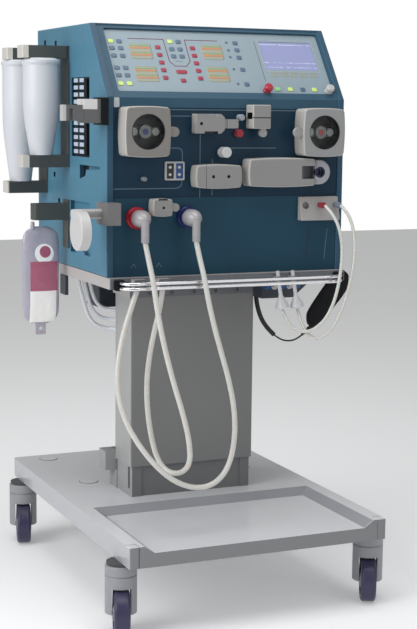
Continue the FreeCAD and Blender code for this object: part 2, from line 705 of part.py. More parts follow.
def build_sides():
    outer = -half_housing
    left = new_body("left_side_cover")
    add(left, "YZ", side_profile(), outer, -inner_half)
    soften(left, size.side_round, lambda edge: within(edge, "x", outer))
    deep = size.side_thickness * 0.7
    for y, z in ((646, 1278), (562, 1274), (575, 966), (540, 905)):
        cut(left, "YZ", hole_rect(y - 7, y + 7, z - 6, z + 6), outer - 1, outer + deep)
    cut(left, "YZ", hole_rect(318, 444, 1014, 1192), outer - 1, outer + 4)
    cut(left, "YZ", hole_rect(322, 350, 1018, 1188), outer, outer + deep)
    pads = add(left, "YZ", hole_rect(362, 390, 1021, 1030), outer + 1, outer + 4)
    repeat(left, pads, "V_Axis", as_size(16), 11)
    pads = add(left, "YZ", hole_rect(403, 431, 1021, 1030), outer + 1, outer + 4)
    repeat(left, pads, "V_Axis", as_size(16), 11)
    cut(left, "YZ", [(base_front + 250, 990), (base_front + 342, 986), (base_front + 348, 972),
                     (base_front + 386, 964), (base_front + 386, 996), (base_front + 250, 996)],
        outer - 1, outer + deep)
    cut(left, "YZ", [(base_front + 312, 792), (base_front + 350, 792, -14), (base_front + 418, 792),
                     (base_front + 453, 792), (base_front + 453, 912), (base_front + 312, 912)],
        outer - 1, outer + deep)
    right = new_body("right_side_cover")
    add(right, "YZ", side_profile(), inner_half, half_housing)
    soften(right, size.side_round, lambda edge: within(edge, "x", half_housing))
    cut(right, "YZ", hole_rect(318, 444, 1014, 1192), half_housing - 4, half_housing + 1)
    louvre = cut(right, "YZ", hole_rect(326, 436, 1022, 1028), inner_half, half_housing - 4)
    repeat(right, louvre, "V_Axis", as_size(16), 11)
    cut(right, "YZ", hole_rect(250, 386, 966, 996), half_housing - deep, half_housing + 1)


def build_hood():
    hood = new_body("rear_hood")
    thick = size.hood_thickness
    low = plate_top
    gap = size.seat_gap
    half = inner_half - gap
    top = size.overall_height
    points = [(apex_y + gap, top - thick), (back_y - thick, top - thick), (back_y - thick, low + gap),
              (back_y, low + gap), (back_y, top), (apex_y + gap, top)]
    add(hood, "YZ", points, -half, half)
    soften(hood, 3, lambda edge: straight(ALONG_X)(edge) and within(edge, "y", back_y)
           and within(edge, "z", top))
    slot = cut(hood, "XZ", block(-60, 60, 1160, 1166), back_y - thick - 1, back_y + 1)
    repeat(hood, slot, "V_Axis", as_size(14), 8)
    cut(hood, "XZ", block(-230, -150, 800, 860), back_y - 3, back_y + 1)
    add(hood, "XZ", block(-214, -166, 814, 846), back_y - 3, back_y)
    for x in (120, 165, 210):
        add(hood, "XZ", [(x, 830, 14)], back_y - thick, back_y, round_shape=True)
        cut(hood, "XZ", [(x, 830, 8)], back_y - 3, back_y + 1, round_shape=True)


def build_front():
    panel = new_body("front_panel", 0, panel_y, 0)
    gap = size.seat_gap
    half = inner_half - gap
    top = crease_z - size.bezel_lip - gap
    thick = size.panel_thickness
    add(panel, "XZ", block(-half, half, plate_top + gap, top), 0, thick)
    cut(panel, "XZ", block(-half - 1, half + 1, size.seam_height - size.seam_width / 2,
                           size.seam_height + size.seam_width / 2), -1, size.seam_depth)
    for x in (-size.left_pump_x, size.right_pump_x):
        cut(panel, "XZ", [(x, size.pump_z, size.rotor_shaft + 5)], -1, thick + 1, round_shape=True)


# Console: a sloping frame round a recessed control panel, with the display and two knobs
def on_slope(name, x=0, s=0, node=True):
    """A body whose own X runs across the slope, Y up it, and Z out of it, from the crease."""
    body = new_body(name, x, face_y + s * cosine(size.console_tilt),
                    crease_z + s * sine(size.console_tilt), node=node)
    body.Placement = Placement(body.Placement.Base, Rotation(ALONG_X, float(size.console_tilt)))
    body.setExpression("Placement.Rotation.Angle", size.console_tilt.text)
    return body


def window_outline(shrink):
    half = size.window_width / 2 - shrink
    return block(size.window_shift - half, size.window_shift + half, size.window_low + shrink,
                 size.window_high - shrink)


def build_console():
    tilt = size.console_tilt
    up, out = cosine(tilt), sine(tilt)
    thick, lip = size.bezel_thickness, size.bezel_lip
    length = size.console_slope
    half = inner_half - size.seat_gap
    bezel = on_slope("console_bezel")
    inner = thick * (1 - out) / up
    inset = size.panel_inset
    crease = inset * (1 - out) / up
    points = [(inset * up - lip * out, -inset * out - lip * up),
              (thick * up - lip * out, -thick * out - lip * up),
              (inner, -thick), (length - thick * out / up, -thick),
              (length - inset * out / up, -inset), (crease, -inset)]
    add(bezel, "YZ", points, -half, half)
    cut(bezel, "XY", window_outline(0), -thick - 1, 0)
    soften(bezel, size.window_corner,
           lambda edge: straight(ALONG_Z)(edge) and within_window(edge))
    panel = on_slope("control_panel")
    seat = size.seat_gap
    face = -size.panel_recess
    add(panel, "XY", window_outline(seat), -thick, face)
    soften(panel, size.window_corner, straight(ALONG_Z))
    wide, high = size.display_width / 2, size.display_height / 2
    cut(panel, "XY", block(size.display_x - wide, size.display_x + wide, size.display_s - high,
                           size.display_s + high), face - 3, face)
    for x in (size.red_knob_x, size.grey_knob_x):
        cut(panel, "XY", [(x, size.knob_s, size.knob_shaft + 0.3)], -thick - 1, face, round_shape=True)
    for columns, rows in KEY_GRIDS:
        for x in columns:
            for s in rows:
                key(panel, x, s, size.key_width, size.key_height, face)
    key(panel, -96, 76, size.key_width * 2, size.key_height, face)
    glass = on_slope("display_glass")
    edge = seat
    add(glass, "XY", block(size.display_x - wide + edge, size.display_x + wide - edge,
                           size.display_s - high + edge, size.display_s + high - edge), face - 3, face - 1)
    for name, x in (("red_knob", size.red_knob_x), ("grey_knob", size.grey_knob_x)):
        knob = on_slope(name, x, size.knob_s)
        radius, length = size.knob_radius, size.knob_length
        low = face + seat
        turn(knob, "XZ", [(0, -thick), (size.knob_shaft, -thick), (size.knob_shaft, low), (radius, low),
                          (radius, low + 4), (radius * 0.66, low + 7), (radius * 0.66, low + length * 0.55),
                          (radius * 1.1, low + length * 0.62), (radius * 1.1, low + length * 0.82),
                          (radius * 0.8, low + length), (0, low + length)])


KEY_GRIDS = (
    ((-247, -227), (157, 138, 117, 84, 64, 41.5)),
    ((-138,), (143, 122, 101, 80, 59)),
    ((-105, -85), (160, 139, 119)),
    ((-97,), (52,)),
    ((-54,), (143, 122, 101, 80, 59)),
    ((56,), (161, 141, 120, 86, 45)),
    ((131, 162.5, 194, 224.5), (33,)),
)


def key(body, x, s, width, height, face):
    """A membrane key: a low pad on the panel's foil."""
    add(body, "XY", block(x - width / 2, x + width / 2, s - height / 2, s + height / 2), face,
        face + size.key_lift)


def within_window(edge):
    """Whether an upright edge of the bezel belongs to the window."""
    x = edge.BoundBox.Center.x
    return abs(x - float(size.window_shift)) < float(size.window_width) / 2 + 1


# Blood pumps: a body with a round raceway, a door with a glass window, and a two-roller rotor
def build_pump(side, x, hinge_side):
    body_depth, door_depth = size.pump_body_depth, size.pump_door_depth
    square = crowned(size.pump_width, size.pump_height, size.pump_crown)
    housing = new_body(side + "_pump_housing", x, panel_y, size.pump_z)
    add(housing, "XZ", square, -body_depth, 0)
    soften(housing, size.pump_corner, straight(ALONG_Y))
    cut(housing, "XZ", [(0, 0, size.pump_cavity)], -body_depth, -size.pump_floor, round_shape=True)
    cut(housing, "XZ", [(0, 0, size.rotor_shaft + 1)], -size.pump_floor - 1, 1, round_shape=True)
    door = new_body(side + "_pump_door", x, panel_y, size.pump_z)
    back = -body_depth - size.door_gap
    front = back - door_depth
    add(door, "XZ", square, front, back)
    soften(door, size.pump_corner, straight(ALONG_Y))
    soften(door, 4, lambda edge: within(edge, "y", front))
    glass_radius = size.window_radius + size.glass_seat
    cut(door, "XZ", [(0, 0, glass_radius)], front + size.door_lip, back, round_shape=True)
    cut(door, "XZ", [(0, 0, size.window_radius)], front - 1, back, round_shape=True)
    away = -hinge_side
    tab_x = away * (size.pump_width / 2 + size.pump_crown + size.tab_reach - 3)
    tab_back = front + 6 + size.tab_thickness
    add(door, "XZ", [(tab_x, 0, size.tab_radius)], front + 6, tab_back, round_shape=True)
    glass = new_body(side + "_pump_window", x, panel_y, size.pump_z)
    seat = front + size.door_lip
    add(glass, "XZ", [(0, 0, glass_radius - size.seat_gap)], seat, seat + size.glass_thickness,
        round_shape=True)
    rotor = new_body(side + "_pump_rotor", x, panel_y, size.pump_z)
    low = -body_depth + 1
    long, wide = size.rotor_length / 2 - size.roller_radius, size.rotor_width / 2
    add(rotor, "XZ", [(-long, -wide), (long, -wide, wide * 0.98), (long, wide), (-long, wide, wide * 0.98)],
        low, low + size.rotor_depth * 0.6)
    add(rotor, "XZ", [(0, 0, size.rotor_width * 0.72)], low - size.rotor_depth * 0.6, low,
        round_shape=True)
    for sign in (-1, 1):
        add(rotor, "XZ", [(sign * long, 0, size.roller_radius)], low - size.rotor_depth * 0.35, low,
            round_shape=True)
    add(rotor, "XZ", [(0, 0, size.rotor_shaft)], low + size.rotor_depth * 0.6,
        size.panel_thickness + 48, round_shape=True)


# Modules that hold the blood lines
def build_modules():
    detector = new_body("air_detector_body", -size.detector_x, panel_y, size.detector_z)
    long, high, deep = size.detector_length / 2, size.detector_height / 2, size.detector_depth
    add(detector, "XZ", [(-long, -high), (long - 9, -high), (long, -high + 11), (long, high - 11),
                         (long - 9, high), (-long, high)], -deep, 0)
    soften(detector, 3, straight(ALONG_Y))
    lid = new_body("air_detector_lid", -size.detector_x, panel_y, size.detector_z)
    back = -deep - size.door_gap
    front = back - size.detector_lid
    reach = long + size.handle_length
    tall = size.handle_height / 2
    add(lid, "XZ", [(-long, -high), (long - 9, -high), (long, -high + 8), (long, high - 8),
                    (long - 9, high), (-long, high)], front, back)
    add(lid, "XZ", block(long, reach, -tall, tall), front + 2, back)
    soften(lid, 3, lambda edge: straight(ALONG_Y)(edge) and abs(abs(edge.BoundBox.Center.x) - float(long)) > 1)
    cut(lid, "XZ", block(-long * 0.45, long * 0.5, high - 5, high + 1), front - 1, back - 5)
    cut(lid, "XZ", block(-long * 0.45, long * 0.5, -high - 1, 5 - high), front - 1, back - 5)
    cut(lid, "XZ", [(-long * 0.68, 0, 3)], front - 1, front + 5, round_shape=True)
    cut(lid, "XZ", block(long + 3, long + 9, -tall - 1, tall + 1), front, front + 5)

    clamp = new_body("venous_clamp_body", size.clamp_x, panel_y, size.clamp_z)
    wide, high, deep = size.clamp_width / 2, size.clamp_height / 2, size.clamp_depth
    add(clamp, "XZ", block(-wide, wide, -high, high), -deep, 0)
    soften(clamp, 3, lambda edge: within(edge, "y", -deep) or straight(ALONG_Y)(edge))
    notch = size.clamp_notch
    cut(clamp, "XZ", block(-wide - 1, -wide + notch, -notch / 2 + 2, notch / 2 + 2), -deep + 6, -6)
    cut(clamp, "XZ", block(-wide - 1, wide + 1, -3, -1), -deep - 1, -deep + 3)
    tongue = new_body("venous_clamp_tongue", size.clamp_x, panel_y, size.clamp_z)
    drop = size.tongue_drop
    radius = size.tongue_radius
    back = -deep + 14
    add(tongue, "XZ", [(6, -drop, radius)], back - size.tongue_thickness, back, round_shape=True)
    add(tongue, "XZ", block(6 - radius * 0.7, 6 + radius * 0.7, -drop, -high - size.seat_gap),
        back - size.tongue_thickness, back)

    sensor = new_body("sensor_block", -size.sensor_x, panel_y, size.sensor_z)
    long, deep = size.sensor_length, size.sensor_depth
    add(sensor, "XZ", crowned(long, size.sensor_height, size.sensor_crown), -deep, 0)
    soften(sensor, 6, straight(ALONG_Y))
    soften(sensor, 4, lambda edge: within(edge, "y", -deep))
    seam = -long / 2 + size.sensor_seam
    cut(sensor, "XZ", block(seam - 0.6, seam + 0.6, -size.sensor_height, size.sensor_height),
        -deep - 1, -deep + 6)
    for x in (-15, 22):
        cut(sensor, "XZ", [(x, 0, size.sensor_hole)], -deep - 1, -deep + 8, round_shape=True)

    pinch = new_body("line_clamp_body", -size.pinch_x, panel_y, size.pinch_z)
    long, high, deep = size.pinch_length / 2, size.pinch_height / 2, size.pinch_depth
    add(pinch, "XZ", crowned(size.pinch_length, size.pinch_height, as_size(1.5)), -deep, 0)
    soften(pinch, 4, straight(ALONG_Y))
    lever = new_body("line_clamp_lever", -size.pinch_x, panel_y, size.pinch_z)
    back = -deep - size.door_gap
    front = back - size.pinch_lever
    add(lever, "XZ", crowned(size.pinch_length, size.pinch_height, as_size(1.5)), front, back)
    soften(lever, 4, straight(ALONG_Y))
    soften(lever, 3, lambda edge: within(edge, "y", front))
    add(lever, "XZ", [(long + size.pinch_handle / 2, 0, size.pinch_handle / 2)], front + 3, back,
        round_shape=True)
    add(lever, "XZ", block(long - 3, long + size.pinch_handle / 2, -5, 5), front + 3, back)
    cut(lever, "XZ", [(1, 0, 3)], front - 1, front + 6, round_shape=True)
    cut(lever, "XZ", block(-long * 0.5, long * 0.5, high - 3, high + 3), front - 1, back - 4)


# Syringe pump: a crowned housing whose right end is hollowed, and a carriage on a guide rod
def build_syringe_pump():
    housing = new_body("syringe_pump_housing", size.syringe_x, panel_y, size.syringe_z)
    long, high, deep = size.syringe_length, size.syringe_height, size.syringe_depth
    add(housing, "XZ", crowned(long, high, size.syringe_crown), -deep, 0)
    soften(housing, 6, straight(ALONG_Y))
    soften(housing, 5, lambda edge: within(edge, "y", -deep))
    end = long / 2
    cut(housing, "XY", [(end - 34, -deep - 2), (end + 8, -deep - 2), (end + 8, -deep * 0.42)],
        -high * 0.24, high * 0.24)
    rod_gap = size.carriage_rod + size.running_gap
    middle = -deep * 0.28
    cut(housing, "YZ", [(middle, 0, rod_gap)], -end + 20, end + size.syringe_crown + 1, round_shape=True)
    carriage = new_body("syringe_pump_carriage", size.syringe_x, panel_y, size.syringe_z)
    start = end + size.syringe_crown + size.seat_gap
    radius = size.carriage_radius
    reach = size.carriage_length - 4
    clear = face_y - panel_y - size.seat_gap
    add(carriage, "XZ", [(start, -radius), (start + reach - radius, -radius, radius * 0.99),
                         (start + reach - radius, radius), (start, radius)], -deep + 6, clear)
    soften(carriage, 5, lambda edge: within(edge, "y", -deep + 6))
    cut(carriage, "XZ", [(start + 12, 0, 10)], -deep + 5, -deep * 0.5, round_shape=True)
    add(carriage, "YZ", [(middle, 0, size.carriage_rod)], -end + 26, start, round_shape=True)


# Concentrate inlet: a wedge-shaped block with its front sloping back to the top
def build_inlet():
    block_body = new_body("concentrate_inlet", size.inlet_x, panel_y, size.inlet_z)
    half, high = size.inlet_length / 2, size.inlet_height / 2
    add(block_body, "YZ", [(-size.inlet_depth, -high), (0, -high), (0, high), (-size.inlet_thin, high)],
        -half, half)
    soften(block_body, 2, lambda edge: not within(edge, "y", 0) and edge.BoundBox.YMin < -5)
    for x in (-36, 0, 40):
        cut(block_body, "XZ", [(x, 8, 6)], -size.inlet_depth - 1, -6, round_shape=True)


# Fittings: two ring couplings, two pressure ports, a parking pin, a test cell and a stub
def build_fittings():
    fittings = []
    deep = size.port_depth
    radius = size.port_radius
    for name, x in (("red_coupling", -size.red_port_x), ("blue_coupling", -size.blue_port_x)):
        ring = new_body(name, x, panel_y, size.port_z, node=False)
        turn_out(ring, [(0, 0), (radius, 0), (radius, deep * 0.45), (radius * 0.92, deep * 0.55),
                        (radius * 0.88, deep), (0, deep)])
        fittings.append(ring)
    small = (
        ("clear_port", size.clear_x, size.clear_z, 7, 18),
        ("vent_port", size.vent_x, size.vent_z, 9, 15),
        ("white_stub", -size.white_x, size.white_z, size.white_radius, size.white_depth),
        ("parking_pin", -size.pin_x, size.pin_z, size.pin_radius, size.pin_length),
    )
    for name, x, z, radius, length in small:
        post = new_body(name, x, panel_y, z, node=False)
        radius = as_size(radius)
        length = as_size(length)
        turn_out(post, [(0, 0), (radius, 0), (radius, length * 0.2), (radius * 0.78, length * 0.3),
                        (radius * 0.78, length * 0.75), (radius, length * 0.82), (radius, length - 1),
                        (radius - 1, length), (0, length)])
        fittings.append(post)
    cell = new_body("test_cell", -size.cell_x, panel_y, size.cell_z, node=False)
    wide, high, deep = size.cell_width / 2, size.cell_height / 2, size.cell_depth
    add(cell, "XZ", block(-wide, wide, -high, high), -deep, 0)
    soften(cell, 3, straight(ALONG_Y))
    for sign in (-1, 1):
        middle = sign * (wide / 2 - 0.5)
        cut(cell, "XZ", block(middle - 8, middle + 8, -high + 4, high - 4), -deep - 1, -deep + 2)
        for z in (-8, 8):
            add(cell, "XZ", [(middle, z, 3)], -deep, -deep + 2, round_shape=True)
    fittings.append(cell)
    group("front_fittings", fittings)


def turn_out(body, points):
    """Turns a radius and reach profile about the axis that points out of the front."""
    sketch = outline(body, "XY", [(point[0], -as_size(point[1])) + point[2:] for point in points])
    feature = body.newObject("PartDesign::Revolution", body.Label + "_turned")
    feature.Profile = sketch
    feature.ReferenceAxis = (sketch, ["V_Axis"])
    feature.Angle = 360
    return feature


# Cartridge holders: a thin rail with a fixed lower arm, an upper arm that lifts, and a cartridge
def holder_y(distance):
    return base_front + distance


def build_holders():
    rails = []
    outer = -half_housing
    thin = size.holder_rail
    half = size.arm_width / 2
    holders = (("front", size.front_holder, size.front_lower_arm, size.left_reach),
               ("rear", size.rear_holder, size.rear_lower_arm, size.rear_reach))
    bottles = []
    for name, y, lower, end in holders:
        reach = end - half_housing
        wide = size.holder_width
        rail = new_body(name + "_rail", outer, holder_y(y), 0, node=False)
        tall = size.arm_height / 2
        add(rail, "XY", block(-thin, 0, -half, wide - half), lower - tall, size.holder_top)
        add(rail, "XY", block(-reach, -thin, -half, half), lower - tall, lower + tall)
        hole = size.cartridge_foot - 6
        middle = -(size.cartridge_x - half_housing)
        cut(rail, "XY", [(middle, 0, hole)], lower - tall - 1, lower + tall + 1, round_shape=True)
        rails.append(rail)
        arm = new_body(name + "_holder_arm", outer, holder_y(y), size.holder_top - tall)
        add(arm, "XY", block(-reach, -thin - size.seat_gap, -half, half), -tall, tall)
        soften(arm, 3, straight(ALONG_Z))
        cut(arm, "XY", block(-reach + size.arm_tip - 0.5, -reach + size.arm_tip + 0.5, -half - 1, 1 - half),
            -tall - 1, tall + 1)
        bottle = new_body(name + "_cartridge", -size.cartridge_x, holder_y(y), 0, node=False)
        top = size.holder_top - size.arm_height - size.seat_gap
        rest = lower + tall + size.seat_gap
        body, flange, foot = size.cartridge_radius, size.cartridge_flange, size.cartridge_foot
        turn(bottle, "XZ", [(0, rest), (foot, rest), (foot + 9, rest + (top - rest) * 0.25, 1.5),
                            (body, top - (top - rest) * 0.45), (body, top - 16), (flange, top - 10),
                            (flange, top - 5), (body - 2, top - 3), (body - 6, top), (0, top)])
        bottles.append(bottle)
    plate = new_body("bag_holder", outer, holder_y(size.front_holder), 0, node=False)
    top = size.bag_holder_top
    wide = size.arm_width / 2 - 2
    low = top - size.bag_holder_height
    add(plate, "XY", block(-thin, 0, -wide, wide), low - 66, top)
    hook_end = -(size.bag_x - half_housing) - 20
    add(plate, "XY", block(hook_end, -thin, -18, 18), low, top - 8)
    soften(plate, 6, lambda edge: straight(ALONG_Z)(edge) and within(edge, "x", hook_end))
    cut(plate, "XY", block(hook_end + 8, -thin - 12, -10, 10), low + 14, top)
    rails.append(plate)
    group("holder_rails", rails)
    group("cartridges", bottles)


def build_bag():
    bag = new_body("dialysate_bag", -size.bag_x, holder_y(size.front_holder), 0)
    wide, deep = size.bag_width / 2, size.bag_depth / 2
    low, top = size.bag_bottom, size.bag_top
    add(bag, "XZ", [(-wide + 8, low), (wide - 8, low), (wide, low + 22), (wide, top - 40),
                    (wide - 24, top), (24 - wide, top), (-wide, top - 40), (-wide, low + 22)], -deep, deep)
    soften(bag, 11, lambda edge: within(edge, "y", -deep) or within(edge, "y", deep))
    tab = size.bag_tab / 2
    add(bag, "XZ", block(-tab - 1, tab - 1, low - size.bag_tab, low + 2), -1.5, 1.5)
    cut(bag, "XZ", [(-1, low - size.bag_tab / 2 + 2, size.bag_hole)], -3, 3, round_shape=True)
    add(bag, "XY", [(-22, 0, 5)], top - 4, top + 12, round_shape=True)


# Line clamps on the left side: black and grey mounts, and the arms that swing on them
def build_clamps():
    outer = -half_housing
    mount = new_body("upper_clamp_mount", outer, base_front + size.upper_clamp_y, size.upper_clamp_z,
                     node=False)
    deep, high = size.clamp_block_depth / 2 + 6, size.clamp_block_height / 2 + 4
    add(mount, "YZ", block(-deep, deep, -high, high), -size.clamp_base, 0)
    soften(mount, 3, straight(ALONG_X))
    arm = new_body("upper_clamp_arm", outer - size.clamp_base - size.seat_gap,
                   base_front + size.upper_clamp_y, size.upper_clamp_z)
    half, tall = size.clamp_block_depth / 2, size.clamp_block_height / 2
    out = -size.clamp_block
    add(arm, "YZ", block(-half, half, -tall, tall), out, 0)
    soften(arm, 2, lambda edge: within(edge, "x", out))
    finger, grip = size.finger_depth / 2, size.finger_height / 2
    drop = -4
    tip = out - size.finger_length
    add(arm, "YZ", block(-half, -half + finger * 2, drop - grip, drop + grip), tip, out)
    gap = size.finger_gap
    cut(arm, "XZ", block(tip + 14, tip + 14 + gap, drop - grip - 1, drop + grip - 8), -half - 1,
        -half + finger * 2 + 1)
    corner = new_body("lower_clamp_mount", 0, 0, size.lower_clamp_z, node=False)
    side = outer - size.clamp_base
    front = face_y - size.lower_block_front
    tall = size.lower_block / 2
    gap = size.seat_gap
    add(corner, "XY", [(side, front), (outer + 20, front), (outer + 20, panel_y), (outer + side_wall(), panel_y),
                       (outer + side_wall(), face_y), (outer, face_y), (outer, face_y + 26), (side, face_y + 26)],
        -tall, tall)
    soften(corner, 3, lambda edge: straight(ALONG_Z)(edge) and within(edge, "y", front))
    swing = new_body("lower_clamp_arm", side - gap, base_front + 198, size.lower_clamp_z)
    radius = size.lower_arm_radius
    long = size.disc_x - (half_housing + size.clamp_base + gap) - 4
    add(swing, "YZ", [(0, 0, radius)], -long, 0, round_shape=True)
    disc_y = size.disc_y - 198
    disc_z = size.disc_z - size.lower_clamp_z
    face = -(size.disc_x - half_housing - size.clamp_base - gap)
    add(swing, "YZ", [(disc_y, disc_z, size.disc_radius)], face, face + size.disc_thickness,
        round_shape=True)
    soften(swing, 3, lambda edge: within(edge, "x", face))
    brackets = [mount, corner]
    for name, sign in (("left_rail_bracket", -1), ("right_rail_bracket", 1)):
        bracket = new_body(name, sign * (half_housing - size.rail_inset), plate_front, size.rail_height,
                           node=False)
        wide = size.bracket_width / 2
        drop = size.rail_pitch
        add(bracket, "XZ", block(-wide, wide, -drop - 6, 6), -10, 0)
        for z in (0, -drop):
            cut(bracket, "XZ", [(0, z, size.rail_rod + size.running_gap)], -10, 0, round_shape=True)
        soften(bracket, 3, lambda edge: straight(ALONG_Y)(edge))
        brackets.append(bracket)
    hook = new_body("cuff_hook", half_housing, base_front + size.cuff_y, 0, node=False)
    low = plate_bottom + 14
    add(hook, "XZ", block(0, size.hook_reach, low, low + size.hook_thickness), -14, 14)
    soften(hook, 6, lambda edge: straight(ALONG_Z)(edge) and within(edge, "x", size.hook_reach))
    brackets.append(hook)
    group("mount_brackets", brackets)


def side_wall():
    return size.side_thickness


# Elbows, plugs and cones on the ends of the lines
def build_line_fittings():
    pieces = []
    for name, x in (("red_elbow", -size.red_port_x), ("blue_elbow", -size.blue_port_x)):
        elbow = new_body(name, x, panel_y, size.port_z, node=False)
        start = size.port_depth + size.seat_gap
        dome = size.elbow_radius
        reach = size.elbow_reach
        turn_out(elbow, [(0, start), (dome, start), (dome, start + 14, -6), (0, reach + 9)])
        pieces.append(elbow)
        spout = circles(elbow, "XY", [(0, -reach, size.elbow_bore)], size.elbow_end - size.port_z)
        extrude(elbow, spout, size.port_z - size.elbow_end - 2)
    for name, x in (("left_cone", size.park_left), ("right_cone", size.park_right)):
        cone = new_body(name, x, plate_front - size.park_block / 2 - 1, plate_bottom + 11, node=False)
        cone.Placement = Placement(cone.Placement.Base, Rotation(ALONG_Y, -float(size.cone_lean)))
        radius, tall = size.cone_radius, size.cone_height
        stem = size.park_radius
        bottom = -size.cone_drop
        tube = size.tube_diameter / 2
        turn(cone, "XZ", [(0, bottom), (tube + 1, bottom), (radius, bottom + 6), (radius, bottom + 9),
                          (stem, bottom + tall), (stem, 18), (0, 18)])
        pieces.append(cone)
    for name, x in (("red_plug", 0), ("black_plug", 40)):
        plug = new_body(name, size.inlet_x + x, panel_y, size.inlet_z + 8, node=False)
        turn_out(plug, [(0, 6.3), (5.7, 6.3), (5.7, 22), (7, 24), (7, 34), (4.5, 40), (0, 40)])
        pieces.append(plug)
    group("line_fittings", pieces)


# Flexible lines: round tubes along straight runs joined by the largest arcs that fit
def line(name, points, diameter, node=True):
    """One flexible line; its points are its route."""
    path = rounded_path(points)
    start = path.Edges[0].firstVertex().Point
    aim = path.Edges[0].tangentAt(path.Edges[0].FirstParameter)
    ring = Part.Wire([Part.Circle(start, aim, float(diameter) / 2).toShape()])
    tube = path.makePipeShell([ring], True, False)
    section = math.pi * float(diameter) ** 2 / 4
    print(name, "length", round(path.Length, 1), "volume ratio", round(tube.Volume / (section * path.Length), 4))
    return plain_shape(name, tube, node)


# Cuff: a padded strap folded over the hook, with the strain relief of its cord at the bottom
def build_cuff():
    cuff = new_body("cuff", 0, base_front + size.cuff_y, 0)
    half = size.cuff_thick / 2
    top = plate_bottom + 14
    reach = size.right_reach
    shape = [(reach - 36, top), (reach, top - 23), (reach - 3, top - 59), (reach - 33, top - 96),
             (reach - 69, top - 132), (reach - 96, top - 152), (reach - 112, top - 142),
             (reach - 114, top - 116), (reach - 74, top - 59), (reach - 56, top - 38)]
    add(cuff, "XZ", shape, -half, half)
    soften(cuff, 10, straight(ALONG_Y))
    soften(cuff, size.cuff_round, lambda edge: within(edge, "y", -half) or within(edge, "y", half))
    relief = new_body("cuff_relief", reach - 102, base_front + size.cuff_y, top - 150, node=False)
    relief.Placement = Placement(relief.Placement.Base, Rotation(ALONG_Y, 55))
    turn(relief, "XZ", [(0, -32), (3, -32), (4.5, -20), (4.5, -12), (6, -10), (6, 6), (0, 6)])
    joined = doc.addObject("Part::MultiFuse", "cuff_with_relief")
    joined.Shapes = [cuff, relief]
    joined.Label = "pressure_cuff"
    sub_parts.remove(cuff)
    sub_parts.append(joined)


def build_lines():
    hose, tube = size.hose_diameter, size.tube_diameter
    socket_z = float(plate_top - size.socket_height)
    line("hose_red", [
        (-222, -290, 836), (-218, -300, 800), (-213, -314, 758), (-208, -322, 706), (-200, -330, 648),
        (-188, -337, 588), (-172, -342, 526), (-153, -345, 464), (-139, -346, 408), (-134, -345, 352),
        (-149, -324, 325), (-170, -293, 325), (-185, -272, 352), (-199, -270, 405), (-207, -268, 466),
        (-208, -266, 528), (-200, -264, 590), (-187, -264, 648), (-175, -264.5, 696),
        (-170, -265, socket_z)], hose)
    line("hose_blue", [
        (-102, -290, 836), (-98, -300, 800), (-92, -314, 758), (-85, -322, 706), (-74, -330, 650),
        (-59, -335, 594), (-43, -338, 538), (-31, -341, 482), (-26, -342, 426), (-31, -343, 372),
        (-48, -345, 326), (-82, -346, 298), (-126, -346, 296), (-170, -344, 314), (-206, -338, 344),
        (-238, -326, 384), (-264, -310, 430), (-281, -295, 482), (-284, -282, 538),
        (-275, -272, 594), (-260, -266, 648), (-242, -265, 698), (-229, -265, socket_z)], hose)
    line("tube_red", [
        (225.5, -272, 908), (234, -290, 892), (244, -304, 864), (249, -311, 830), (249, -315, 795),
        (244, -318, 758), (237, -319, 720), (226, -318, 684), (209, -316, 652), (184, -311, 628),
        (153, -299, 622), (131, -280, 640), (126, -263, 669)], tube)
    line("tube_black", [
        (265.5, -272, 908), (276, -289, 891), (282, -302, 862), (283, -311, 826), (280, -316, 790),
        (273, -319, 752), (263, -320, 714), (251, -320, 677), (234, -319, 643), (216, -318, 619),
        (192, -313, 606), (172, -298, 615), (166, -280, 643), (164, -263, 669)], tube)
    column_back = float(column_y + size.sleeve_depth)
    top = float(plate_bottom)
    routes = (
        [(-246, 103, top), (-239, 103, 700), (-230, 103, 668), (-222, 102, 636), (-207, 100, 608),
         (-180, 96, 594), (-153, 80, 594), (-149, column_back, 594)],
        [(-232, 103, top), (-226, 103, 703), (-219, 103, 674), (-212, 102, 648), (-197, 100, 626),
         (-174, 98, 616), (-150, 79, 616), (-146, column_back, 616)],
        [(-218, 103, top), (-213, 103, 706), (-207, 103, 681), (-199, 102, 660), (-186, 100, 645),
         (-163, 95, 638), (-146, 75, 638), (-143.5, column_back, 638)],
    )
    drains = [line(f"drain_line_{index}", points, size.drain_diameter, node=False)
              for index, points in enumerate(routes, start=1)]
    group("drain_lines", drains)
    hose_part = line("cuff_hose", [
        (164, -38, top), (164, -38, 704), (165, -38, 676), (169, -40, 646), (179, -43, 616),
        (196, -46, 592), (211, -48, 578)], size.cuff_hose, node=False)
    cord_part = line("cuff_cord", [
        (211, -48, 578), (222, -52, 569), (236, -57, 563), (252, -63, 563), (265, -69, 569),
        (274, -73, 577)], size.cuff_cord, node=False)
    group("cuff_line", [hose_part, cord_part])


build_base()
build_frame()
for corner in STEER:
    build_fork(corner)
build_caps()
build_column()
build_plate()
build_service_ports()
build_rail()
build_sides()
build_hood()
build_front()
build_console()
build_pump("left", -size.left_pump_x, -1)
build_pump("right", size.right_pump_x, 1)
build_modules()
build_syringe_pump()
build_inlet()
build_fittings()
build_holders()
build_bag()
build_clamps()
build_line_fittings()
build_cuff()
build_lines()

doc.recompute()
for item in doc.Objects:
    if "Invalid" in item.State or "Error" in item.State:
        raise RuntimeError(f"{item.Label} failed: {item.State}")
for item in sub_parts:
    shape = item.Shape
    if shape.isNull() or not shape.isValid() or not shape.Solids:
        raise RuntimeError(f"{item.Label} has no valid solid")
for item in sub_parts:
    item.Shape.exportStep(os.path.join("parts", item.Label + ".step"))
print(len(sub_parts), "sub-parts")
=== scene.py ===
import math

import bmesh
import bpy
import numpy as np
from mathutils import Matrix, Vector


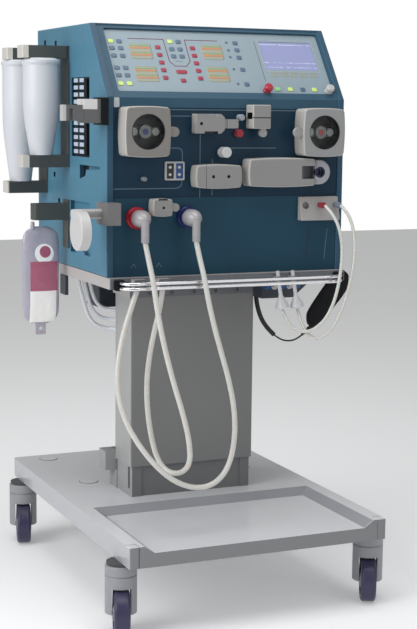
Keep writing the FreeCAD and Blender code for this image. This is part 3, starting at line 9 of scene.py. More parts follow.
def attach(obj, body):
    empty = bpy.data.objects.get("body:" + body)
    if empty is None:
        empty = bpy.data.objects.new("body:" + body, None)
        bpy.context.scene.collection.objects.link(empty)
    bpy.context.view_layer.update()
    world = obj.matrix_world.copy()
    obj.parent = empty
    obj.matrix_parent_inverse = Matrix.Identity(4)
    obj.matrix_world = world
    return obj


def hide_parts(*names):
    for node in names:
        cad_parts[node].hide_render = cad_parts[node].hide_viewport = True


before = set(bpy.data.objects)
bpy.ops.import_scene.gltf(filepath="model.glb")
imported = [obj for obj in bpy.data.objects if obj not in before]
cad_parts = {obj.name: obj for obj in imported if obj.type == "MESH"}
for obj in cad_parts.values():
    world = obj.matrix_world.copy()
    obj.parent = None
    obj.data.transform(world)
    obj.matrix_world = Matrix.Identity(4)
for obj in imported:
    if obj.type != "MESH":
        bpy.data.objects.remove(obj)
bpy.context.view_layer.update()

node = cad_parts


# The view: a camera a little above the console's height, turned to show the front and the left
# side, in a pale studio with a large soft lamp at the left, one at the front right and one above.
# The camera, and light that has come straight through glass, see the world white.
def feed(tree, socket, value):
    """Links another node's output to the socket, or writes a number, a vector or a colour into it."""
    if isinstance(value, bpy.types.NodeSocket):
        tree.links.new(value, socket)
    else:
        socket.default_value = value


def calc(tree, operation, *values):
    """The output of a math node whose inputs are the values."""
    step = tree.nodes.new("ShaderNodeMath")
    step.operation = operation
    for socket, value in zip(step.inputs, values):
        feed(tree, socket, value)
    return step.outputs[0]


def ramp(tree, value, *ends):
    """The value mapped from the first two ends to the last two, which are 0 and 1 if left out."""
    span = tree.nodes.new("ShaderNodeMapRange")
    for name, end in zip(("From Min", "From Max", "To Min", "To Max"), ends):
        span.inputs[name].default_value = end
    feed(tree, span.inputs["Value"], value)
    return span.outputs["Result"]


yaw, pitch, roll = 0.4132168, -0.1383746, 0.0103645
forward = Vector((math.sin(yaw) * math.cos(pitch), math.cos(yaw) * math.cos(pitch), math.sin(pitch)))
right = Vector((math.cos(yaw), -math.sin(yaw), 0))
up = right.cross(forward)
right, up = (right * math.cos(roll) + up * math.sin(roll), up * math.cos(roll) - right * math.sin(roll))
lens = bpy.data.cameras.new("view")
lens.lens = 83.7
lens.sensor_width = 36
lens.clip_end = 40
eye = (-1.3604021, -3.2309477, 1.120025)
camera = bpy.data.objects.new("view", lens)
camera.matrix_world = (Matrix.Translation(eye)
                       @ Matrix((right, up, -forward)).transposed().to_4x4())
bpy.context.scene.collection.objects.link(camera)
bpy.context.scene.camera = camera
bpy.context.scene.view_settings.view_transform = "Standard"

lit_middle = Vector((0, 0, 0.7))
lamps = (
    ("left_lamp", (-3.0, -0.9, 2.0), 2.2, 60),
    ("front_lamp", (1.4, -3.2, 2.0), 2.2, 13),
    ("top_lamp", (-0.2, -0.6, 3.4), 2.4, 46),
)
for name, place, side, power in lamps:
    lamp = bpy.data.lights.new(name, "AREA")
    lamp.size = side
    lamp.energy = power
    holder = bpy.data.objects.new(name, lamp)
    aim = lit_middle - Vector(place)
    holder.matrix_world = Matrix.Translation(place) @ aim.to_track_quat("-Z", "Y").to_matrix().to_4x4()
    bpy.context.scene.collection.objects.link(holder)

world = bpy.data.worlds.new("studio")
bpy.context.scene.world = world
world.use_nodes = True
tree, white, dimmed = world.node_tree, 1.0, 0.27
seen = tree.nodes.new("ShaderNodeLightPath").outputs
either = calc(tree, "MAXIMUM", seen["Is Camera Ray"], seen["Is Transmission Ray"])
direct = calc(tree, "LESS_THAN", seen["Diffuse Depth"], 0.5)
strength = ramp(tree, calc(tree, "MULTIPLY", either, direct), 0, 1, dimmed, white)
feed(tree, tree.nodes["Background"].inputs["Strength"], strength)
tree.nodes["Background"].inputs["Color"].default_value = (1, 1, 1, 1)

reach = 9
floor_mesh = bpy.data.meshes.new("studio_floor")
floor_mesh.from_pydata([(-reach, -reach, 0), (reach, -reach, 0), (reach, reach, 0), (-reach, reach, 0)],
                       [], [(0, 1, 2, 3)])
floor = bpy.data.objects.new("studio_floor", floor_mesh)
bpy.context.scene.collection.objects.link(floor)
floor_paint = bpy.data.materials.new("studio_floor")
floor_paint.use_nodes = True
for socket, value in (("Base Color", (0.86, 0.87, 0.88, 1)), ("Roughness", 0.9),
                      ("Emission Color", (1, 1, 1, 1)), ("Emission Strength", 0.22)):
    floor_paint.node_tree.nodes["Principled BSDF"].inputs[socket].default_value = value
floor_mesh.materials.append(floor_paint)


# Dialysate hoses: two silicone hoses from the couplings on the front. Each hangs in a long loop in
# front of the rail, and comes up behind it to a socket under the front of the plate.
def coordinates(tree, output="Object"):
    """Where on its piece a point lies, or which way its surface faces."""
    return tree.nodes.new("ShaderNodeTexCoord").outputs[output]


def noise(tree, scale, detail=2):
    """The strength of a noise whose features get smaller as the scale goes up."""
    texture = tree.nodes.new("ShaderNodeTexNoise")
    feed(tree, texture.inputs["Scale"], scale)
    texture.inputs["Detail"].default_value = detail
    feed(tree, texture.inputs["Vector"], coordinates(tree))
    return texture.outputs["Fac"]


def split(tree, vector):
    """The three parts of a vector."""
    parts = tree.nodes.new("ShaderNodeSeparateXYZ")
    feed(tree, parts.inputs[0], vector)
    return parts.outputs


def blend(tree, factor, first, second):
    """The first colour turns into the second while the factor goes from 0 to 1."""
    mix = tree.nodes.new("ShaderNodeMix")
    mix.data_type = "RGBA"
    for name, value in (("Factor", factor), ("A", first), ("B", second)):
        feed(tree, mix.inputs[name], (*value, 1) if isinstance(value, tuple) else value)
    return mix.outputs["Result"]


def moulding_group():
    """Colour drifts with a coarse noise, gloss with a middle one, and height is a fine grain."""
    group = bpy.data.node_groups.new("moulded_surface", "ShaderNodeTree")
    for socket, value in (("Colour", (0.5, 0.5, 0.5, 1)), ("Drift", 0.12), ("Roughness", 0.5),
                          ("Grain Scale", 900.0), ("Dust", 0.1), ("Blotch", 0.22)):
        kind = "NodeSocketFloat" if isinstance(value, float) else "NodeSocketColor"
        group.interface.new_socket(socket, in_out="INPUT", socket_type=kind).default_value = value
    for socket, kind in (("Colour", "NodeSocketColor"), ("Roughness", "NodeSocketFloat"),
                         ("Height", "NodeSocketFloat")):
        group.interface.new_socket(socket, in_out="OUTPUT", socket_type=kind)
    given = group.nodes.new("NodeGroupInput").outputs
    made = group.nodes.new("NodeGroupOutput").inputs
    dust_colour = (0.62, 0.6, 0.57)
    middle = noise(group, 38, 4)
    swing = calc(group, "MULTIPLY", calc(group, "SUBTRACT", noise(group, 5.5, 5), 0.5), given["Drift"])
    shade = group.nodes.new("ShaderNodeHueSaturation")
    feed(group, shade.inputs["Value"], calc(group, "ADD", swing, 1.0))
    feed(group, shade.inputs["Color"], given["Colour"])
    rise = split(group, group.nodes.new("ShaderNodeNewGeometry").outputs["Normal"])["Z"]
    upward = calc(group, "MULTIPLY", calc(group, "MAXIMUM", rise, 0.0), middle)
    settled = calc(group, "MULTIPLY", upward, given["Dust"])
    feed(group, made["Colour"], blend(group, settled, shade.outputs["Color"], dust_colour))
    blur = calc(group, "MULTIPLY", calc(group, "SUBTRACT", middle, 0.5), given["Blotch"])
    feed(group, made["Roughness"], calc(group, "ADD", blur, given["Roughness"]))
    feed(group, made["Height"], noise(group, given["Grain Scale"]))
    return group


moulded = moulding_group()


def finish(name, colour, roughness=0.5, drift=0.12, grain=900.0, depth=0.00004, dust=0.08, source=None,
           blotch=0.22, **sockets):
    """A material whose colour and gloss vary over the piece; source may put a pattern in the colour."""
    material = bpy.data.materials.new(name)
    material.use_nodes = True
    tree = material.node_tree
    shader = tree.nodes["Principled BSDF"]
    surface = tree.nodes.new("ShaderNodeGroup")
    surface.node_tree = moulded
    for socket, value in (("Colour", source(tree, colour) if source else (*colour, 1)), ("Drift", drift),
                          ("Roughness", roughness), ("Grain Scale", grain), ("Dust", dust),
                          ("Blotch", blotch)):
        feed(tree, surface.inputs[socket], value)
    bump = tree.nodes.new("ShaderNodeBump")
    bump.inputs["Distance"].default_value = depth
    feed(tree, bump.inputs["Height"], surface.outputs["Height"])
    feed(tree, shader.inputs["Base Color"], surface.outputs["Colour"])
    feed(tree, shader.inputs["Roughness"], surface.outputs["Roughness"])
    feed(tree, shader.inputs["Normal"], bump.outputs["Normal"])
    for socket, value in sockets.items():
        shader.inputs[socket.replace("_", " ")].default_value = value
    return material


def dress(material, *names):
    """Gives CAD nodes their material."""
    for name in names:
        mesh = node[name].data
        mesh.materials.clear()
        mesh.materials.append(material)


silicone = finish("hose_silicone", (0.62, 0.62, 0.59), 0.28, 0.1, 400, 0.00002, 0.0,
                  Subsurface_Weight=0.2, Coat_Weight=0.35)


def hang(name, cad, route, diameter, material):
    """The route, in millimetres, gives the control points of one smooth curve of round section."""
    curve = bpy.data.curves.new(name, "CURVE")
    curve.dimensions = "3D"
    spline = curve.splines.new("NURBS")
    spline.points.add(len(route) - 1)
    points = np.column_stack([np.array(route) / 1000, np.ones(len(route))])
    spline.points.foreach_set("co", points.ravel())
    spline.order_u = 3
    spline.use_endpoint_u = True
    curve.resolution_u = 10
    curve.bevel_depth = diameter / 2000
    curve.bevel_resolution = 5
    curve.use_fill_caps = True
    curve.materials.append(material)
    piece = bpy.data.objects.new(name, curve)
    bpy.context.scene.collection.objects.link(piece)
    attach(piece, "base")
    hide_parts(cad)


hose, tube, drain = 12, 7.5, 9
hang("red_coupling_hose", "hose_red", [
    (-222, -290, 836), (-218, -300, 800), (-213, -314, 758), (-208, -322, 706), (-200, -330, 648),
    (-188, -337, 588), (-172, -342, 526), (-153, -345, 464), (-139, -346, 408), (-134, -345, 352),
    (-149, -324, 325), (-170, -293, 325), (-185, -272, 352), (-199, -270, 405), (-207, -268, 466),
    (-208, -266, 528), (-200, -264, 590), (-187, -264, 648), (-175, -264.5, 696), (-170, -265, 736)],
    hose, silicone)
hang("blue_coupling_hose", "hose_blue", [
    (-102, -290, 836), (-98, -300, 800), (-92, -314, 758), (-85, -322, 706), (-74, -330, 650),
    (-59, -335, 594), (-43, -338, 538), (-31, -341, 482), (-26, -342, 426), (-31, -343, 372),
    (-48, -345, 326), (-82, -346, 298), (-126, -346, 296), (-170, -344, 314), (-206, -338, 344),
    (-238, -326, 384), (-264, -310, 430), (-281, -295, 482), (-284, -282, 538), (-275, -272, 594),
    (-260, -266, 648), (-242, -265, 698), (-229, -265, 736)], hose, silicone)

# Concentrate tubes: two thinner clear tubes from the inlet block, each ending in the wide cone of
# a suction fitting that is parked in a clip behind the rail.
hang("red_concentrate_tube", "tube_red", [
    (225.5, -272, 908), (234, -290, 892), (244, -304, 864), (249, -311, 830), (249, -315, 795),
    (244, -318, 758), (237, -319, 720), (226, -318, 684), (209, -316, 652), (184, -311, 628),
    (153, -299, 622), (131, -280, 640), (126, -263, 669)], tube, silicone)
hang("black_concentrate_tube", "tube_black", [
    (265.5, -272, 908), (276, -289, 891), (282, -302, 862), (283, -311, 826), (280, -316, 790),
    (273, -319, 752), (263, -320, 714), (251, -320, 677), (234, -319, 643), (216, -318, 619),
    (192, -313, 606), (172, -298, 615), (166, -280, 643), (164, -263, 669)], tube, silicone)

# Drain lines: three white silicone lines that leave the underside of the plate and turn into the
# back of the column.
drain_silicone = finish("drain_silicone", (0.74, 0.77, 0.82), 0.3, 0.1, 400, 0.00002, 0.0,
                        Subsurface_Weight=0.2, Coat_Weight=0.35)
for number, route in enumerate((
        [(-246, 103, 732), (-239, 103, 700), (-230, 103, 668), (-222, 102, 636), (-207, 100, 608),
         (-180, 96, 594), (-153, 80, 594), (-149, 51, 594)],
        [(-232, 103, 732), (-226, 103, 703), (-219, 103, 674), (-212, 102, 648), (-197, 100, 626),
         (-174, 98, 616), (-150, 79, 616), (-146, 51, 616)],
        [(-218, 103, 732), (-213, 103, 706), (-207, 103, 681), (-199, 102, 660), (-186, 100, 645),
         (-163, 95, 638), (-146, 75, 638), (-143.5, 51, 638)]), start=1):
    hang(f"drain_line_{number}", "drain_lines", route, drain, drain_silicone)

# Cuff line: a black rubber hose from under the plate, with a thin cord going on from its end to
# the pressure cuff's strain relief.
cuff_hose, cuff_cord = 11, 4
rubber = finish("black_rubber", (0.012, 0.012, 0.014), 0.42, 0.3, 700, 0.00003, 0.04)
hang("cuff_hose", "cuff_line", [
    (164, -38, 732), (164, -38, 704), (165, -38, 676), (169, -40, 646), (179, -43, 616),
    (196, -46, 592), (211, -48, 578)], cuff_hose, rubber)
hang("cuff_cord", "cuff_line", [
    (211, -48, 578), (222, -52, 569), (236, -57, 563), (252, -63, 563), (265, -69, 569), (274, -73, 577)],
    cuff_cord, rubber)


# Wheeled base: a coated moulding with an open tray at the front, and a separate bumper at each
# front corner. The coating is a light grey gloss, as on the faces turned up; the outer sides and
# the faces to the front take a darker painted shade, and the walls of the tray and the rings
# round the pads take a painted groove shade.
def vector(tree, operation, *values):
    """The output of a vector math node: a number for a length or a product, or else a vector."""
    step = tree.nodes.new("ShaderNodeVectorMath")
    step.operation = operation
    for socket, value in zip(step.inputs, values):
        feed(tree, socket, value)
    return step.outputs["Value" if operation in ("DISTANCE", "DOT_PRODUCT", "LENGTH") else "Vector"]


def painted(*areas, under=None):
    """Each area is a centre, a sphere's radius or a box's half sides, and the colour inside it."""
    def source(tree, colour):
        place = coordinates(tree)
        result = under(tree, colour) if under else colour
        for centre, reach, tint in areas:
            if isinstance(reach, float):
                inside = calc(tree, "LESS_THAN", vector(tree, "DISTANCE", place, centre), reach)
            else:
                away = vector(tree, "ABSOLUTE", vector(tree, "SUBTRACT", place, centre))
                x, y, z = split(tree, vector(tree, "SUBTRACT", away, reach))
                inside = calc(tree, "LESS_THAN", calc(tree, "MAXIMUM", calc(tree, "MAXIMUM", x, y), z), 0)
            result = blend(tree, inside, result, tint)
        return result
    return source


def fronted(tint, level=0.5, way=(0, -1, 0), under=None):
    """Faces whose normal points the given way by more than the level take the tint, a painted light or
    shade.
    """
    def source(tree, colour):
        lean = vector(tree, "DOT_PRODUCT", coordinates(tree, "Normal"), way)
        facing = ramp(tree, lean, level - 0.08, level + 0.08)
        return blend(tree, facing, under(tree, colour) if under else colour, tint)
    return source


base_grey, side_shade_grey, front_shade_grey = (0.76, 0.77, 0.8), (0.45, 0.46, 0.49), (0.22, 0.225, 0.235)
groove_shade = (0.33, 0.34, 0.37)
pad_spots = (-0.208, 0.128), (0.208, 0.128), (-0.229, 0.392), (0.229, 0.392)
dress(finish("base_coating", side_shade_grey, 0.13, 0.05, 1200, 0.000015, 0.03, painted(
    ((0, -0.272, 0.198), (0.279, 0.1645, 0.0077), groove_shade),
    *[((x, y, 0.207), radius, tint) for x, y in pad_spots
      for radius, tint in ((0.0245, groove_shade), (0.0222, base_grey))],
    under=fronted(front_shade_grey, under=fronted(base_grey, way=(0, 0, 1)))), blotch=0.06), "base_tray")
dress(finish("frame_steel", (0.05, 0.05, 0.055), 0.5, 0.2, 500, 0.00005, 0.1), "steel_frame")


# Casters: grey moulded caps and hooded forks, and wheels with a dark blue tread round a grey hub.
# The tread is bonded to the hub, so the colour changes at one radius about the axle.
corners = (("front_left", -0.305, -0.368, -17), ("front_right", 0.305, -0.368, -26),
           ("rear_left", -0.305, 0.372, -14), ("rear_right", 0.305, 0.372, -22))
dress(finish("caster_moulding", (0.3, 0.31, 0.33), 0.45, 0.15, 1000, 0.00004, 0.08), "caster_caps",
      *[corner + "_fork" for corner, *place in corners])
axle_height, trail, hub_radius = 0.05, 0.02, 0.034


def wheel_colour(x, y, steer):
    """Distance from the axle, in the wheel's own turned axes, decides between hub and tread."""
    def source(tree, colour):
        turn = tree.nodes.new("ShaderNodeMapping")
        turn.vector_type = "TEXTURE"
        turn.inputs["Location"].default_value = (x, y, axle_height)
        turn.inputs["Rotation"].default_value = (0, 0, steer)
        feed(tree, turn.inputs["Vector"], coordinates(tree))
        radius = vector(tree, "LENGTH", vector(tree, "MULTIPLY", turn.outputs["Vector"], (0, 1, 1)))
        return blend(tree, ramp(tree, radius, hub_radius - 0.0005, hub_radius + 0.0005),
                     (0.2, 0.21, 0.24), colour)
    return source


for corner, x, y, steer in corners:
    turned = math.radians(steer)
    axle_x, axle_y = x + trail * math.sin(turned), y - trail * math.cos(turned)
    dress(finish("tread_" + corner, (0.035, 0.033, 0.085), 0.38, 0.2, 500, 0.00003, 0.05,
                 wheel_colour(axle_x, axle_y, turned)), corner + "_wheel")


# Column: folded sheet covers over a dark foot, both dark grey at the front, with a painted light that
# makes their sides light grey. Its head with five blind holes and the plate are one light moulding,
# with a painted shade on the faces to the front, and the mounts, rail brackets and cuff hook are
# black mouldings.
def painted_side_light(centre, half, pale):
    """Beyond the front sheet's half width the cover takes the pale colour, a painted light on its sides."""
    def source(tree, colour):
        off = calc(tree, "ABSOLUTE", calc(tree, "SUBTRACT", split(tree, coordinates(tree))["X"], centre))
        return blend(tree, calc(tree, "GREATER_THAN", off, half), colour, pale)
    return source


column_middle = -0.008
dress(finish("column_coating", (0.2, 0.202, 0.203), 0.36, 0.12, 1300, 0.00005, 0.06,
             painted_side_light(column_middle, 0.1575, (0.37, 0.37, 0.37))), "column_sleeve")
dress(finish("foot_coating", (0.165, 0.17, 0.175), 0.45, 0.12, 1300, 0.00005, 0.06,
             painted_side_light(column_middle, 0.153, (0.36, 0.37, 0.38))), "column_foot_cover")
dress(finish("plate_moulding", (0.46, 0.44, 0.43), 0.5, 0.14, 900, 0.00005, 0.04,
             fronted((0.135, 0.145, 0.16))), "support_plate")
dress(finish("black_moulding", (0.008, 0.009, 0.01), 0.42, 0.3, 800, 0.00004, 0.03, painted(
    ((-0.294, -0.239, 0.897), (0.028, 0.037, 0.026), (0.2, 0.2, 0.205))), Specular_IOR_Level=0.12),
    "mount_brackets")


# Handrail: two chrome-plated rods side by side, bent round the front corners of the plate and held
# in two corner brackets.
dress(finish("rail_chrome", (0.82, 0.82, 0.84), 0.12, 0.05, 200, 0.000004, 0.0, Metallic=1.0), "chrome_rail")


# Housing: blue coated sheet covers at the sides, top and back, and a darker blue front panel. The
# coating is a fine orange-peel texture, with a painted shade on the narrow front edges of the covers
# and in the left cover's recess and small holes.
sheet_blue, front_edge_shade_blue = (0.078, 0.22, 0.32), (0.024, 0.08, 0.135)
cover_blue = finish("cover_blue", sheet_blue, 0.42, 0.16, 1100, 0.00006, 0.05, fronted(front_edge_shade_blue),
                    Specular_IOR_Level=0.35)
dress(cover_blue, "right_side_cover", "rear_hood")
recess_shade, vent_pad = (0.006, 0.008, 0.012), (0.5, 0.58, 0.68)
# The left cover: a near black painted shade in its recess and small holes; the vent pads keep their pale
# colour.
dress(finish("left_cover_blue", sheet_blue, 0.42, 0.16, 1100, 0.00006, 0.05, painted(
    ((-0.281, -0.057, 1.103), (0.0062, 0.064, 0.0895), recess_shade),
    ((-0.2885, -0.0415, 1.106), (0.0008, 0.0346, 0.0895), vent_pad),
    *[((-0.281, y, z), (0.0062, 0.0072, 0.0062), recess_shade) for y, z in (
        (0.208, 1.278), (0.124, 1.274), (0.137, 0.966), (0.102, 0.905))],
    ((-0.281, -0.0705, 0.983), (0.006, 0.0183, 0.0135), recess_shade), under=fronted(front_edge_shade_blue)),
    Specular_IOR_Level=0.35), "left_side_cover")
dress(finish("front_blue", (0.005, 0.03, 0.06), 0.4, 0.25, 1100, 0.00005, 0.0, painted(
    ((0, -0.235, 0.838), (0.29, 0.02, 0.0915), (0.011, 0.056, 0.095))), Specular_IOR_Level=0.25),
    "front_panel")
dress(finish("console_blue", (0.03, 0.09, 0.145), 0.42, 0.18, 1000, 0.00005, 0.02,
             Specular_IOR_Level=0.3), "console_bezel")
dress(finish("panel_foil", (0.27, 0.35, 0.4), 0.35, 0.08, 1600, 0.00003, 0.0), "control_panel")


# Console prints: pale flow lines, coloured keys and lamp windows on the membrane foil. The keys
# are soft domes over the embossed pads, and everything lies on the foil's sloping plane.
tilt = math.radians(54)
top_height, slope_length = 1.310, 0.2
crease = np.array([0.0, -0.235, top_height - slope_length * math.sin(tilt)])
slope_axes = np.array([[1, 0, 0], [0, math.cos(tilt), math.sin(tilt)], [0, -math.sin(tilt), math.cos(tilt)]])
front_axes = np.array([[1, 0, 0], [0, 0, 1], [0, -1, 0]])
front_origin = np.array([0.0, -0.232, 0.0])


def piece_from(name, points, faces, material, body, smooth=True):
    """Puts computed points and faces into a mesh object that rides on a body."""
    mesh = bpy.data.meshes.new(name)
    mesh.from_pydata(points.reshape(-1, 3).tolist(), [], faces)
    mesh.polygons.foreach_set("use_smooth", [smooth] * len(mesh.polygons))
    mesh.materials.append(material)
    shape = bmesh.new()
    shape.from_mesh(mesh)
    bmesh.ops.recalc_face_normals(shape, faces=shape.faces)
    shape.to_mesh(mesh)
    shape.free()
    made = bpy.data.objects.new(name, mesh)
    bpy.context.scene.collection.objects.link(made)
    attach(made, body)
    return made


def pads(name, spots, width, height, lift, material, origin, axes, base=0.0, slot_name="panel_foil",
         power=4.0):
    """Domed pads: rings of a superellipse shrink to the middle while they rise to the lift."""
    spots = np.array(spots, float)
    rows, around = 6, 20
    turn = np.linspace(0, 2 * np.pi, around, endpoint=False)
    ring_x = np.sign(np.cos(turn)) * np.abs(np.cos(turn)) ** (2 / power)
    ring_y = np.sign(np.sin(turn)) * np.abs(np.sin(turn)) ** (2 / power)
    reach = np.array([1.0, 1.0, 0.93, 0.8, 0.45, 0.02])
    rise = np.array([0.0, 0.55, 0.85, 0.96, 1.0, 1.0])
    local = np.stack([reach[:, None] * ring_x * width / 2, reach[:, None] * ring_y * height / 2,
                      np.broadcast_to(rise[:, None] * lift + base, (rows, around))], -1)
    local = local[None] + np.concatenate([spots, np.zeros((len(spots), 1))], 1)[:, None, None, :]
    points = origin + (local / 1000) @ axes
    row, column = np.meshgrid(np.arange(rows - 1), np.arange(around), indexing="ij")
    after = (column + 1) % around
    quads = np.stack([row * around + column, row * around + after, (row + 1) * around + after,
                      (row + 1) * around + column], -1).reshape(-1, 4)
    starts = np.arange(len(spots)) * rows * around
    faces = (quads[None] + starts[:, None, None]).reshape(-1, 4).tolist()
    faces += (np.arange(around - 1, -1, -1)[None] + starts[:, None]).tolist()
    faces += (np.arange(around * (rows - 1), around * rows)[None] + starts[:, None]).tolist()
    piece_from(name, points, faces, material, "base")


def printed(name, paths, width, material, origin, axes, base=0.02, thick=0.25):
    """A printed line: a flat section of the given width carried along each path with mitred turns."""
    every, faces, start = [], [], 0
    for path in paths:
        path = np.array(path, float)
        run = np.diff(path, axis=0)
        run /= np.linalg.norm(run, axis=1)[:, None]
        side = np.stack([-run[:, 1], run[:, 0]], -1)
        first, last = np.vstack([side[:1], side]), np.vstack([side, side[-1:]])
        mitre = first + last
        mitre /= np.linalg.norm(mitre, axis=1)[:, None]
        mitre *= (width / 2 / np.sum(mitre * first, axis=1))[:, None]
        low, high = path - mitre, path + mitre
        count = len(path)
        flat = np.stack([low, high, high, low], 1)
        tall = np.array([base, base, base + thick, base + thick])[None, :, None]
        local = np.concatenate([flat, np.broadcast_to(tall, (count, 4, 1))], -1)
        every.append((origin + (local / 1000) @ axes).reshape(-1, 3))
        step, corner = np.meshgrid(np.arange(count - 1), np.arange(4), indexing="ij")
        beside = (corner + 1) % 4
        quads = np.stack([step * 4 + corner, (step + 1) * 4 + corner, (step + 1) * 4 + beside,
                          step * 4 + beside], -1).reshape(-1, 4) + start
        faces += quads.tolist() + [[start, start + 1, start + 2, start + 3],
                                   [start + count * 4 - 1, start + count * 4 - 2,
                                    start + count * 4 - 3, start + count * 4 - 4]]
        start += count * 4
    piece_from(name, np.concatenate(every), faces, material, "base", smooth=False)


foil = -8.0
foil_lift = foil + 0.6
key = (12.6, 10.6, 0.9)
key_blue = finish("key_blue", (0.075, 0.135, 0.21), 0.35, 0.25, 900, 0.00002, 0.03)
key_red = finish("key_red", (0.33, 0.006, 0.04), 0.35, 0.3, 900, 0.00002, 0.03)
key_lit = finish("key_lit", (0.52, 0.68, 0.17), 0.35, 0.15, 900, 0.00002, 0.0,
                 Emission_Color=(0.6, 0.8, 0.2, 1), Emission_Strength=0.15)
key_green = finish("key_green", (0.25, 0.58, 0.2), 0.35, 0.15, 900, 0.00002, 0.0,
                   Emission_Color=(0.2, 0.7, 0.2, 1), Emission_Strength=0.12)
blue_spots = [(-227, 157), (-247, 138), (-227, 138), (-247, 117), (-227, 117), (-247, 84), (-227, 84),
              (-247, 64), (-227, 64), (-85, 160), (-105, 139), (-85, 139), (-105, 119), (-85, 119),
              (56, 161), (56, 141), (56, 120), (56, 86), (56, 45), (194, 33)]
pads("blue_keys", blue_spots, *key, key_blue, crease, slope_axes, foil_lift)
red_spots = [(x, s) for x in (-138, -54) for s in (143, 122, 101, 80, 59)]
pads("red_keys", red_spots + [(-97, 52)], *key, key_red, crease, slope_axes, foil_lift)
pads("wide_red_key", [(-96, 76)], 25.6, *key[1:], key_red, crease, slope_axes, foil_lift)
pads("lit_keys", [(-247, 157), (-247, 41.5), (-227, 41.5), (-105, 160), (162.5, 33), (224.5, 33)],
     *key, key_lit, crease, slope_axes, foil_lift)
pads("green_key", [(131, 33)], *key, key_green, crease, slope_axes, foil_lift)
print_dark = finish("print_dark", (0.09, 0.12, 0.17), 0.45, 0.05, 900, 0.00001, 0.0)
print_wine = finish("print_wine", (0.16, 0.03, 0.07), 0.45, 0.05, 900, 0.00001, 0.0)
printed("console_flow_lines", [[(-205, 166), (-120, 166), (-118, 104), (-107, 92), (-80, 92), (-68, 106),
                                (-68, 166), (13, 166)]], 1.8, print_wine, crease, slope_axes, foil)
printed("console_field_lines", [[(-104, 106), (-86, 106)], [(-244, 21), (-160, 21)],
                                [(106, 168), (106, 56)]], 1.2, print_dark, crease, slope_axes, foil)
lamp_orange = finish("lamp_orange", (0.5, 0.2, 0.08), 0.35, 0.6, 900, 0.00001, 0.0,
                     Emission_Color=(1.0, 0.4, 0.12, 1), Emission_Strength=0.04)
lamp_green = finish("lamp_green", (0.2, 0.33, 0.13), 0.35, 0.6, 900, 0.00001, 0.0,
                    Emission_Color=(0.3, 0.8, 0.2, 1), Emission_Strength=0.03)
lamp_pale = finish("lamp_pale", (0.32, 0.34, 0.27), 0.35, 0.3, 900, 0.00001, 0.0)
fields = [(-180.5, 130.5), (-180.5, 68), (-7.5, 133), (-7.5, 71)]
pads("lamp_fields", fields, 53, 42, 0.35, lamp_pale, crease, slope_axes, foil, power=9)
steps = np.linspace(-22, 22, 9)
for name, material, offsets, height in (("lamps_green", lamp_green, (16, -3), 3.2),
                                        ("lamps_orange", lamp_orange, (10, -9.5), 5.4)):
    pads(name, [(x + step, s + offset) for x, s in fields for offset in offsets for step in steps],
         4.9, height, 0.3, material, crease, slope_axes, foil + 0.35)
pads("key_symbols", [(35, s) for s in (162, 140, 121, 87, 46)], 7, 7, 0.2, print_dark, crease, slope_axes,
     foil, power=2)
pads("soft_keys", [(x, s) for x in (133, 158, 183, 208, 233) for s in (71, 79)], 21, 4.6, 0.4, lamp_pale,
     crease, slope_axes, foil)
printed("display_border", [[(115, 83), (115, 173), (253, 173), (253, 83), (115, 83)]], 1.6,
        finish("border_pale", (0.36, 0.42, 0.48), 0.4), crease, slope_axes, foil)


# Display: a pale violet liquid crystal screen behind glass, set into a pocket of the control panel,
# which shows soft generic rows at its top and bottom. The shafts of the two turned knobs below it
# go through the panel.
row_pitch, screen_middle, blank_half = 0.0105, 1.2518, 0.0185


def screen_rows(tree, colour):
    """Rows from a wave of the height, cut into dashes by a noise, near the top and bottom only."""
    height = split(tree, coordinates(tree))["Z"]
    row = calc(tree, "SINE", calc(tree, "MULTIPLY", height, 2 * math.pi / row_pitch))
    dashes = ramp(tree, calc(tree, "MULTIPLY", row, noise(tree, 90)), 0.36, 0.5)
    off = calc(tree, "ABSOLUTE", calc(tree, "SUBTRACT", height, screen_middle))
    shown = calc(tree, "MULTIPLY", dashes, ramp(tree, off, blank_half, blank_half + 0.001, 0, 0.7))
    return blend(tree, shown, colour, (0.62, 0.64, 0.86))


dress(finish("display", (0.3, 0.33, 0.55), 0.2, 0.05, 400, 0.000003, 0.0, screen_rows,
             Coat_Weight=0.3, Emission_Color=(0.4, 0.42, 0.75, 1), Emission_Strength=0.06), "display_glass")
dress(finish("knob_red", (0.4, 0.012, 0.035), 0.3, 0.15, 900, 0.00002, 0.03, Coat_Weight=0.3), "red_knob")
dress(finish("knob_grey", (0.5, 0.5, 0.49), 0.35, 0.12, 900, 0.00002, 0.03), "grey_knob")


# Blood pumps and line modules: warm grey mouldings with a fine spark-eroded texture, with a painted
# shade on faces to the front and a darker painted shade in pits, holes, slots and races. The pump
# doors have clear windows over dark rotors with pale rollers.
# Near black painted shade for the insides of pits, holes, slots and races; the test cell's dark window also
# takes this colour.
pit = (0.02, 0.02, 0.022)
left_pump_x, right_pump_x, pump_z, roller_reach = -0.211, 0.217, 1.074, 0.025


def module(*names, front=(0.265, 0.263, 0.262), areas=()):
    """Line modules share one moulding material, with a painted shade on faces to the front; pits, holes and
    races are darker areas of painted shade.
    """
    dress(finish(names[0] + "_grey", (0.48, 0.465, 0.44), 0.4, 0.12, 1300, 0.00005, 0.04,
                 painted(*areas, under=fronted(front, 0.8)), Specular_IOR_Level=0.4), *names)


# The pump fronts take a painted shade, darker on the left pump; the ring and race behind each window take a
# near black painted shade.
for side, x, front in (("left", left_pump_x, (0.225, 0.215, 0.205)),
                       ("right", right_pump_x, (0.29, 0.295, 0.3))):
    module(side + "_pump_housing", side + "_pump_door", front=front, areas=[
        ((x, -0.242, pump_z), 0.0445, (0.02, 0.022, 0.023)), ((x, -0.2645, pump_z), 0.0412, pit)])
